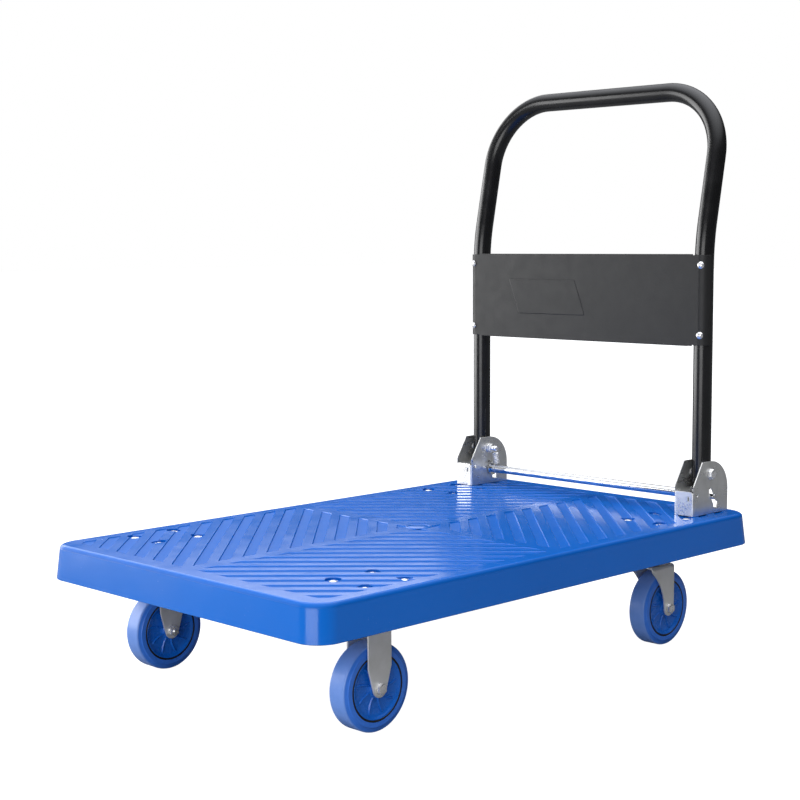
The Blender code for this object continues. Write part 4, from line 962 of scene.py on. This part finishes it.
for side_name, side in sides:
    low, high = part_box(f"foot_plug_{side_name}")
    reach = pivot_z - low.z
    rim = tube_radius - 0.0006
    stem = tube_radius - 0.0020
    outline = [(rim * step / 8, pivot_z - math.sqrt(reach ** 2 - (rim * step / 8) ** 2))
               for step in range(9)]
    outline += [(rim, foot_end - 0.0003), (stem, foot_end - 0.0003), (stem, high.z), (0, high.z)]
    place = Matrix.Translation((pivot_x, side * post_y, 0))
    plug = lathe(f"foot_plug_{side_name}_moulding", outline, 48, place, ring_black, smooth=40)
    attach(plug, "handle")
    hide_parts(f"foot_plug_{side_name}")


# ---------------------------------------------------------------- handle panel
# Sheet steel across the posts, coated dark grey. Its ends wrap round the tube, its long edges
# are folded back, and a plain sloping field is pressed forward in the middle.

panel_coat = powder_coat("dark_grey_panel_coat", (0.0165, 0.0165, 0.0165),
                         (0.0195, 0.0195, 0.0195), (0.44, 0.52), 0.34)
panel_low, panel_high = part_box("handle_panel")
sheet = 0.0012
wrap_inner = 0.0150
wrap_outer = wrap_inner + sheet
wrap_angle = 82
face_x = pivot_x - wrap_outer
wing_end = pivot_x - wrap_outer * math.cos(math.radians(wrap_angle))
wing_start = post_y - 0.0085


def panel_body():
    """The wrapped sheet: a flat strip whose two ends are spun round the posts."""
    bm = bmesh.new()
    block(bm, (face_x, pivot_x - wrap_inner), (-post_y, post_y), (panel_low.z, panel_high.z))
    for side in (1, -1):
        ends = [f for f in bm.faces if f.normal.y * side > 0.9
                and abs(f.calc_center_median().y - side * post_y) < 1e-6]
        bmesh.ops.spin(
            bm, geom=ends + [e for f in ends for e in f.edges] + [v for f in ends for v in f.verts],
            cent=(pivot_x, side * post_y, 0), axis=(0, 0, 1),
            angle=math.radians(-side * wrap_angle), steps=24, use_merge=False)
    bmesh.ops.remove_doubles(bm, verts=bm.verts, dist=1e-6)
    return bm


panel = solid("handle_panel_sheet", panel_body(), panel_coat, 25)
keep = bmesh.new()
block(keep, (face_x - 0.01, wing_end), (-0.3, 0.3), (panel_low.z, panel_high.z))
ends = [e for e in keep.edges
        if climb(e) < 1e-6 and all(abs(v.co.x - wing_end) < 1e-6 for v in e.verts)]
bevel(keep, ends, 0.0060, 8)
cut(panel, keep, "INTERSECT")
lip_reach = post_y - 0.0190
for edge, inward in ((panel_low.z, 1), (panel_high.z, -1)):
    lip = bmesh.new()
    z_range = sorted((edge, edge + inward * sheet))
    block(lip, (face_x + sheet / 2, face_x + 0.0120), (-lip_reach, lip_reach), z_range)
    lip_ends = [e for e in lip.edges if climb(e) > sheet / 2 and e.verts[0].co.x > face_x + 0.01]
    bevel(lip, lip_ends, 0.0080, 6)
    cut(panel, lip, "UNION")
    for side in (1, -1):
        z_range = sorted((edge - inward * 0.004, edge + inward * 0.0013))
        y_range = sorted((side * wing_start, side * 0.3))
        cut_block(panel, (face_x - 0.01, pivot_x + 0.01), y_range, z_range)
        place = Matrix.Translation((0, side * wing_start, edge + inward * 0.0006))
        drill(panel, 0.0013, (face_x - 0.01, pivot_x), (0, 0), 16, place @ turned(90, "Y"))

field = bmesh.new()
field_centre = Vector((face_x, 0.0699, deck_top + 0.3239))
lean_over = Matrix(((1, 0, 0, 0), (0, 1, 0.0215 / 0.0570, 0), (0, 0, 1, 0), (0, 0, 0, 1)))
turn = Matrix.Translation(field_centre) @ lean_over @ turned(-90, "Y")
stand = Matrix.Diagonal((0.0570, 0.1386, 1, 1))
bmesh.ops.create_grid(field, x_segments=1, y_segments=1, size=0.5, matrix=stand)
bevel(field, list(field.verts), 0.0030, 5, "VERTICES")
bmesh.ops.translate(field, vec=(0, 0, -sheet / 2), verts=field.verts)
made = bmesh.ops.extrude_face_region(field, geom=list(field.faces))["geom"]
crown = only(made, bmesh.types.BMFace)
bmesh.ops.translate(field, vec=(0, 0, sheet / 2), verts=only(made, bmesh.types.BMVert))
for rise in (0.0004, 0.0002):
    bmesh.ops.inset_region(field, faces=crown, thickness=0.0005, use_even_offset=True)
    verts = list(dict.fromkeys(v for f in crown for v in f.verts))
    bmesh.ops.translate(field, vec=(0, 0, rise), verts=verts)
bmesh.ops.transform(field, matrix=turn, verts=field.verts)
cut(panel, field, "UNION")

screw_places = []
for side_name, side in sides:
    for level_name in ("low", "high"):
        low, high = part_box(f"panel_screw_{side_name}_{level_name}")
        place = Matrix.Translation((pivot_x, side * post_y, (low.z + high.z) / 2))
        place = place @ turned(-side * 16, "Z") @ turned(-90, "Y")
        screw_places.append((f"panel_screw_{side_name}_{level_name}", place))
holes = bmesh.new()
for name, place in screw_places:
    round_bar(holes, 0.0024, (wrap_inner - 0.002, wrap_outer + 0.002), (0, 0), 24, place)
cut(panel, holes)
panel.data.shade_smooth()
soften(panel, 0.0004)
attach(panel, "handle")
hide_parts("handle_panel")

for number, (name, place) in enumerate(screw_places):
    head = wrap_outer + 0.0003
    crown_height = head + 0.0026
    outline = [(0, head - 0.0050), (0.0016, head - 0.0050), (0.0020, head - 0.0042), (0.0020, head)]
    outline += [(0.0050, head), (0.0052, head + 0.0003)]
    outline += curve((0, head - 0.0047), 0.00728, 44, 90, 8)
    screw = lathe(f"{name}_pan_head", outline, 40, place, bright_zinc)
    for quarter in (0, 90):
        slot = bmesh.new()
        block(slot, (-0.0024, 0.0024), (-0.00055, 0.00055), (crown_height - 0.0016, crown_height + 0.001))
        ends = [e for e in slot.edges if climb(e) < 1e-6 and e.verts[0].co.z < crown_height
                and abs(e.verts[0].co.x - e.verts[1].co.x) < 1e-6]
        bevel(slot, ends, 0.0011, 1)
        spin_by = turned(quarter + 37 * number, "Z")
        bmesh.ops.transform(slot, matrix=place @ spin_by, verts=slot.verts)
        cut(screw, slot)
    screw.data.shade_smooth()
    screw.data.set_sharp_from_angle(angle=math.radians(32))
    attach(screw, "handle")
    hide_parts(name)


# ---------------------------------------------------------------- brackets
# Zinc-plated channels folded from 2 mm sheet, bolted to the deck. Each cheek has the pivot
# hole, a small tooling hole and a slanted slot for the lock rod with a square pocket below.


def fold_round(bm, offset, segments):
    """Round the two upright edges in front of the pivot, where the sheet is folded."""
    bevel(bm, [e for e in bm.edges if climb(e) > 0.01 and e.verts[0].co.x < pivot_x], offset, segments)


bracket_zinc = zinc_plate("zinc_bracket_sheet", (0.12, 1, 1), (0.72, 0.72, 0.70), (0.22, 0.30), 0.86)
gap = 0.0020
through = (-0.05, 0.05)
slot_half = 0.0044
slot_top = 0.0110
slot_foot = -0.0150
rod_low, rod_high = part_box("lock_rod")
rod_x = (rod_low.x + rod_high.x) / 2
rod_z = (rod_low.z + rod_high.z) / 2
for side_name, side in sides:
    node = f"bracket_{side_name}"
    low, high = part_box(node)
    y = side * post_y
    inner_y, outer_y = high.y - y - gap, high.y - y
    inner = (y - inner_y, y + inner_y)
    bm = bmesh.new()
    block(bm, (low.x, high.x), (y - outer_y, y + outer_y), (low.z, high.z))
    fold_round(bm, 0.0035, 6)
    bracket = solid(f"{node}_channel", bm, bracket_zinc, 28)

    inside = bmesh.new()
    block(inside, (low.x + gap, high.x + 0.01), inner, (low.z + gap, high.z + 0.01))
    fold_round(inside, 0.0015, 5)
    cut(bracket, inside)

    outline = bmesh.new()
    block(outline, (low.x - 0.01, high.x), (y - 0.03, y + 0.03), (low.z - 0.01, high.z))
    back = [e for e in outline.edges if all(v.co.x > pivot_x and v.co.z > pivot_z for v in e.verts)]
    bevel(outline, back, (high.x - low.x) / 2 - 0.0002, 28)
    slope_foot = Vector((low.x, y, deck_top + 0.0434))
    slope_top = Vector((pivot_x - 0.0222, y, high.z))
    across_slope = Vector((slope_foot.z - slope_top.z, 0, slope_top.x - slope_foot.x))
    sliced = bmesh.ops.bisect_plane(
        outline, geom=[*outline.verts, *outline.edges, *outline.faces], dist=1e-6,
        plane_co=slope_foot, plane_no=across_slope, clear_outer=True)["geom_cut"]
    bmesh.ops.contextual_create(outline, geom=only(sliced, bmesh.types.BMEdge))
    cut(bracket, outline, "INTERSECT")

    cut_block(bracket, (low.x - 0.01, low.x + 0.006), inner, (deck_top + 0.0372, high.z + 0.01))
    for notch_side in (-1, 1):
        place = Matrix.Translation((0, y + notch_side * (inner_y - 0.0004), deck_top + 0.0366))
        drill(bracket, 0.0016, (low.x - 0.01, low.x + 0.0035), (0, 0), 16, place @ turned(90, "Y"))
    vent = (y - 0.0097, y - 0.0073)
    cut_block(bracket, (low.x - 0.01, low.x + 0.006), vent, (deck_top + 0.0230, deck_top + 0.0300))
    for radius, x, z in ((clear_bore, pivot_x, pivot_z), (0.0024, pivot_x - 0.0356, deck_top + 0.0318)):
        drill(bracket, radius, through, (0, 0), 32, Matrix.Translation((x, y, z)) @ upright_wheel)
    tilt = Matrix.Translation((rod_x, y, rod_z)) @ turned(-32, "Y")
    cut_block(bracket, (-slot_half, slot_half), through, (slot_foot, slot_top), tilt)
    slot_end = tilt @ Matrix.Translation((0, 0, slot_top))
    drill(bracket, slot_half, through, (0, 0), 24, slot_end @ upright_wheel)
    diamond = tilt @ Matrix.Translation((0, 0, slot_foot)) @ turned(45, "Y")
    cut_block(bracket, (-0.0052, 0.0052), through, (-0.0052, 0.0052), diamond)
    for end in ("front", "back"):
        bolt_low, bolt_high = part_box(f"bracket_bolt_{side_name}_{end}")
        place = ((bolt_low.x + bolt_high.x) / 2, y)
        drill(bracket, clear_bore, (low.z - 0.002, low.z + 0.004), place, 24)
    bracket.data.shade_smooth()
    soften(bracket, 0.00035)
    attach(bracket, "platform")
    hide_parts(node)

    for end in ("front", "back"):
        bolt_low, bolt_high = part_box(f"bracket_bolt_{side_name}_{end}")
        x = (bolt_low.x + bolt_high.x) / 2
        radius = (bolt_high.y - bolt_low.y) / 2
        seat = bolt_high.z - 0.0040
        outline = [(0, bolt_low.z), (0.0030, bolt_low.z), (0.0036, bolt_low.z + 0.0006), (0.0036, seat)]
        outline += [(radius - 0.0003, seat), (radius, seat + 0.0004)]
        outline += curve((0, bolt_high.z - 0.0094), 0.0094, 37, 90, 8)
        place = Matrix.Translation((x, y, 0))
        bolt = lathe(f"bracket_bolt_{side_name}_{end}_domed", outline, 40, place, bright_zinc)
        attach(bolt, "platform")
        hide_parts(f"bracket_bolt_{side_name}_{end}")


# ---------------------------------------------------------------- handle pivots
# A hexagon bolt through each bracket and post, with a washer under its head, thin spacers
# against the cheeks, a nut on the inside and a long threaded tail that carries the spring.

cheek = 0.0177
for side_name, side in sides:
    low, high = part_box(f"pivot_bolt_{side_name}")
    nut_low, nut_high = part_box(f"pivot_nut_{side_name}")
    flip = Matrix() if side > 0 else Matrix.Rotation(math.pi, 4, "X")
    turn = Matrix.Translation((pivot_x, side * post_y, pivot_z)) @ upright_wheel @ flip
    head_top = max(abs(low.y), abs(high.y)) - post_y
    tail = min(abs(low.y), abs(high.y)) - post_y
    bm = bmesh.new()
    washer(bm, clear_bore, 0.0088, (cheek + 0.0002, cheek + 0.0011), turn)
    hex_block(bm, hex_flats, (cheek + 0.0011, head_top), 0.0008, turn)
    round_bar(bm, shank, (tail + 0.0100, cheek + 0.0014), (0, 0), 32, turn)
    threaded_end(bm, shank, tail + 0.0100, tail, turn)
    bolt = solid(f"pivot_bolt_{side_name}_hex", bm, bright_zinc)
    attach(bolt, "platform")
    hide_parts(f"pivot_bolt_{side_name}")

    nut_ends = sorted(abs(corner.y) - post_y for corner in (nut_low, nut_high))
    bm = bmesh.new()
    hex_block(bm, hex_flats, (nut_ends[0], nut_ends[1] - 0.0008), 0.0008, turn, True)
    washer(bm, clear_bore, 0.0084, (nut_ends[1] - 0.0008, nut_ends[1]), turn)
    nut = solid(f"pivot_nut_{side_name}_hex", bm, bright_zinc)
    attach(nut, "platform")
    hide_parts(f"pivot_nut_{side_name}")

    bm = bmesh.new()
    for way in (-1, 1):
        z_range = sorted((way * (tube_radius + 0.0002), way * 0.0156))
        washer(bm, clear_bore, 0.0068, z_range, turn)
    spacers = solid(f"pivot_spacers_{side_name}", bm, bright_zinc)
    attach(spacers, "platform")


# ---------------------------------------------------------------- lock rod
# A chromed bar that locks under the handle's feet, with thinner ends in the slanted slots
# and a flanged washer at each end. A foot pushes it down; the springs pull it back.


def chrome_plate():
    material, tree, shader, place = surface_nodes("chrome_plate", 1.0)
    tone = remap(tree, noise(tree, place, 30.0, 5.0), 0.0, 1.0)
    colour = mix_colours(tree, tone, (0.72, 0.73, 0.75), (0.82, 0.83, 0.85))
    smear = remap(tree, noise(tree, place, 50.0, 5.0, (1, 0.2, 1)), 0.03, 0.09)
    drawn = remap(tree, noise(tree, place, 700.0, 3.0, (1, 0.04, 1)), 0.0, 0.03)
    wire_up(tree, shader, colour, add_values(tree, smear, drawn))
    relief(tree, shader, (noise(tree, place, 120.0, 2.0), 0.00001))
    return material


chrome = chrome_plate()
washer_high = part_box("rod_washer_left")[1]
pin_end = rod_high.y
rod_radius = (rod_high.z - rod_low.z) / 2
shoulder = washer_high.y + 0.0009
outline = [(0, -pin_end), (0.0034, -pin_end), (0.0040, -pin_end + 0.0006), (0.0040, -shoulder)]
outline += [(rod_radius - 0.0006, -shoulder), (rod_radius, -shoulder + 0.0006)]
place = Matrix.Translation((rod_x, 0, rod_z)) @ upright_wheel
rod = lathe("lock_rod_chromed", mirrored(outline), 64, place, chrome, smooth=40)
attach(rod, "lock")
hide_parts("lock_rod")

for side_name, side in sides:
    low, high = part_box(f"rod_washer_{side_name}")
    centre = (low + high) / 2
    radius = (high.z - low.z) / 2
    thick = (high.y - low.y) / 2
    bm = bmesh.new()
    washer(bm, rod_radius + 0.0003, radius, (-thick, thick), Matrix.Translation(centre) @ upright_wheel)
    ring = solid(f"rod_washer_{side_name}_flange", bm, chrome)
    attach(ring, "lock")
    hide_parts(f"rod_washer_{side_name}")


# ---------------------------------------------------------------- return springs
# Coil springs wound from bright spring wire. Each hangs from a pivot bolt's tail by a hook and holds the
# rod below with another.


def wire_loop(wire, radius, turns, rise, steps):
    """Spin a round wire section about Z, lifting it by the given rise on every turn."""
    part = bmesh.new()
    section = Matrix.Translation((radius, 0, 0)) @ turned(90, "X")
    verts = bmesh.ops.create_circle(part, cap_ends=False, segments=8, radius=wire, matrix=section)["verts"]
    edges = list(dict.fromkeys(e for v in verts for e in v.link_edges))
    total = max(1, round(turns * steps))
    bmesh.ops.spin(part, geom=verts + edges, cent=(0, 0, 0), axis=(0, 0, 1),
                   dvec=(0, 0, rise / steps), angle=math.tau * turns, steps=total, use_merge=False)
    bmesh.ops.holes_fill(part, edges=[e for e in part.edges if e.is_boundary], sides=0)
    bmesh.ops.recalc_face_normals(part, faces=part.faces)
    return part


wire = 0.00065
turns = 8.5
for side_name, side in sides:
    node = f"return_spring_{side_name}"
    low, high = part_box(node)
    top = Vector((pivot_x, (low.y + high.y) / 2, pivot_z))
    foot = Vector((rod_x, top.y, rod_z))
    hang = (foot - top).length
    aim = (foot - top).to_track_quat("Z", "Y").to_matrix().to_4x4()
    coil_start = 0.0062
    reach = hang - rod_radius - 0.0020 - coil_start
    coil = wire_loop(wire, 0.0050, turns, reach / turns, 24)
    for vert in coil.verts:
        near = min(vert.co.z, reach - vert.co.z) / 0.0016
        squeeze = 0.15 + 0.85 * max(0.0, min(1.0, near))
        vert.co.x *= squeeze
        vert.co.y *= squeeze
    bm = bmesh.new()
    add_part(bm, coil, Matrix.Translation(top) @ aim @ Matrix.Translation((0, 0, coil_start)))
    for centre, radius in ((top, 0.0047), (foot, rod_radius + 0.0008)):
        hook = wire_loop(wire, radius, 0.97, 0.0002, 40)
        add_part(bm, hook, Matrix.Translation(centre) @ turned(90, "X"))
    spring = solid(f"{node}_coil", bm, bright_zinc, 60)
    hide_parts(node)
    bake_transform(spring)
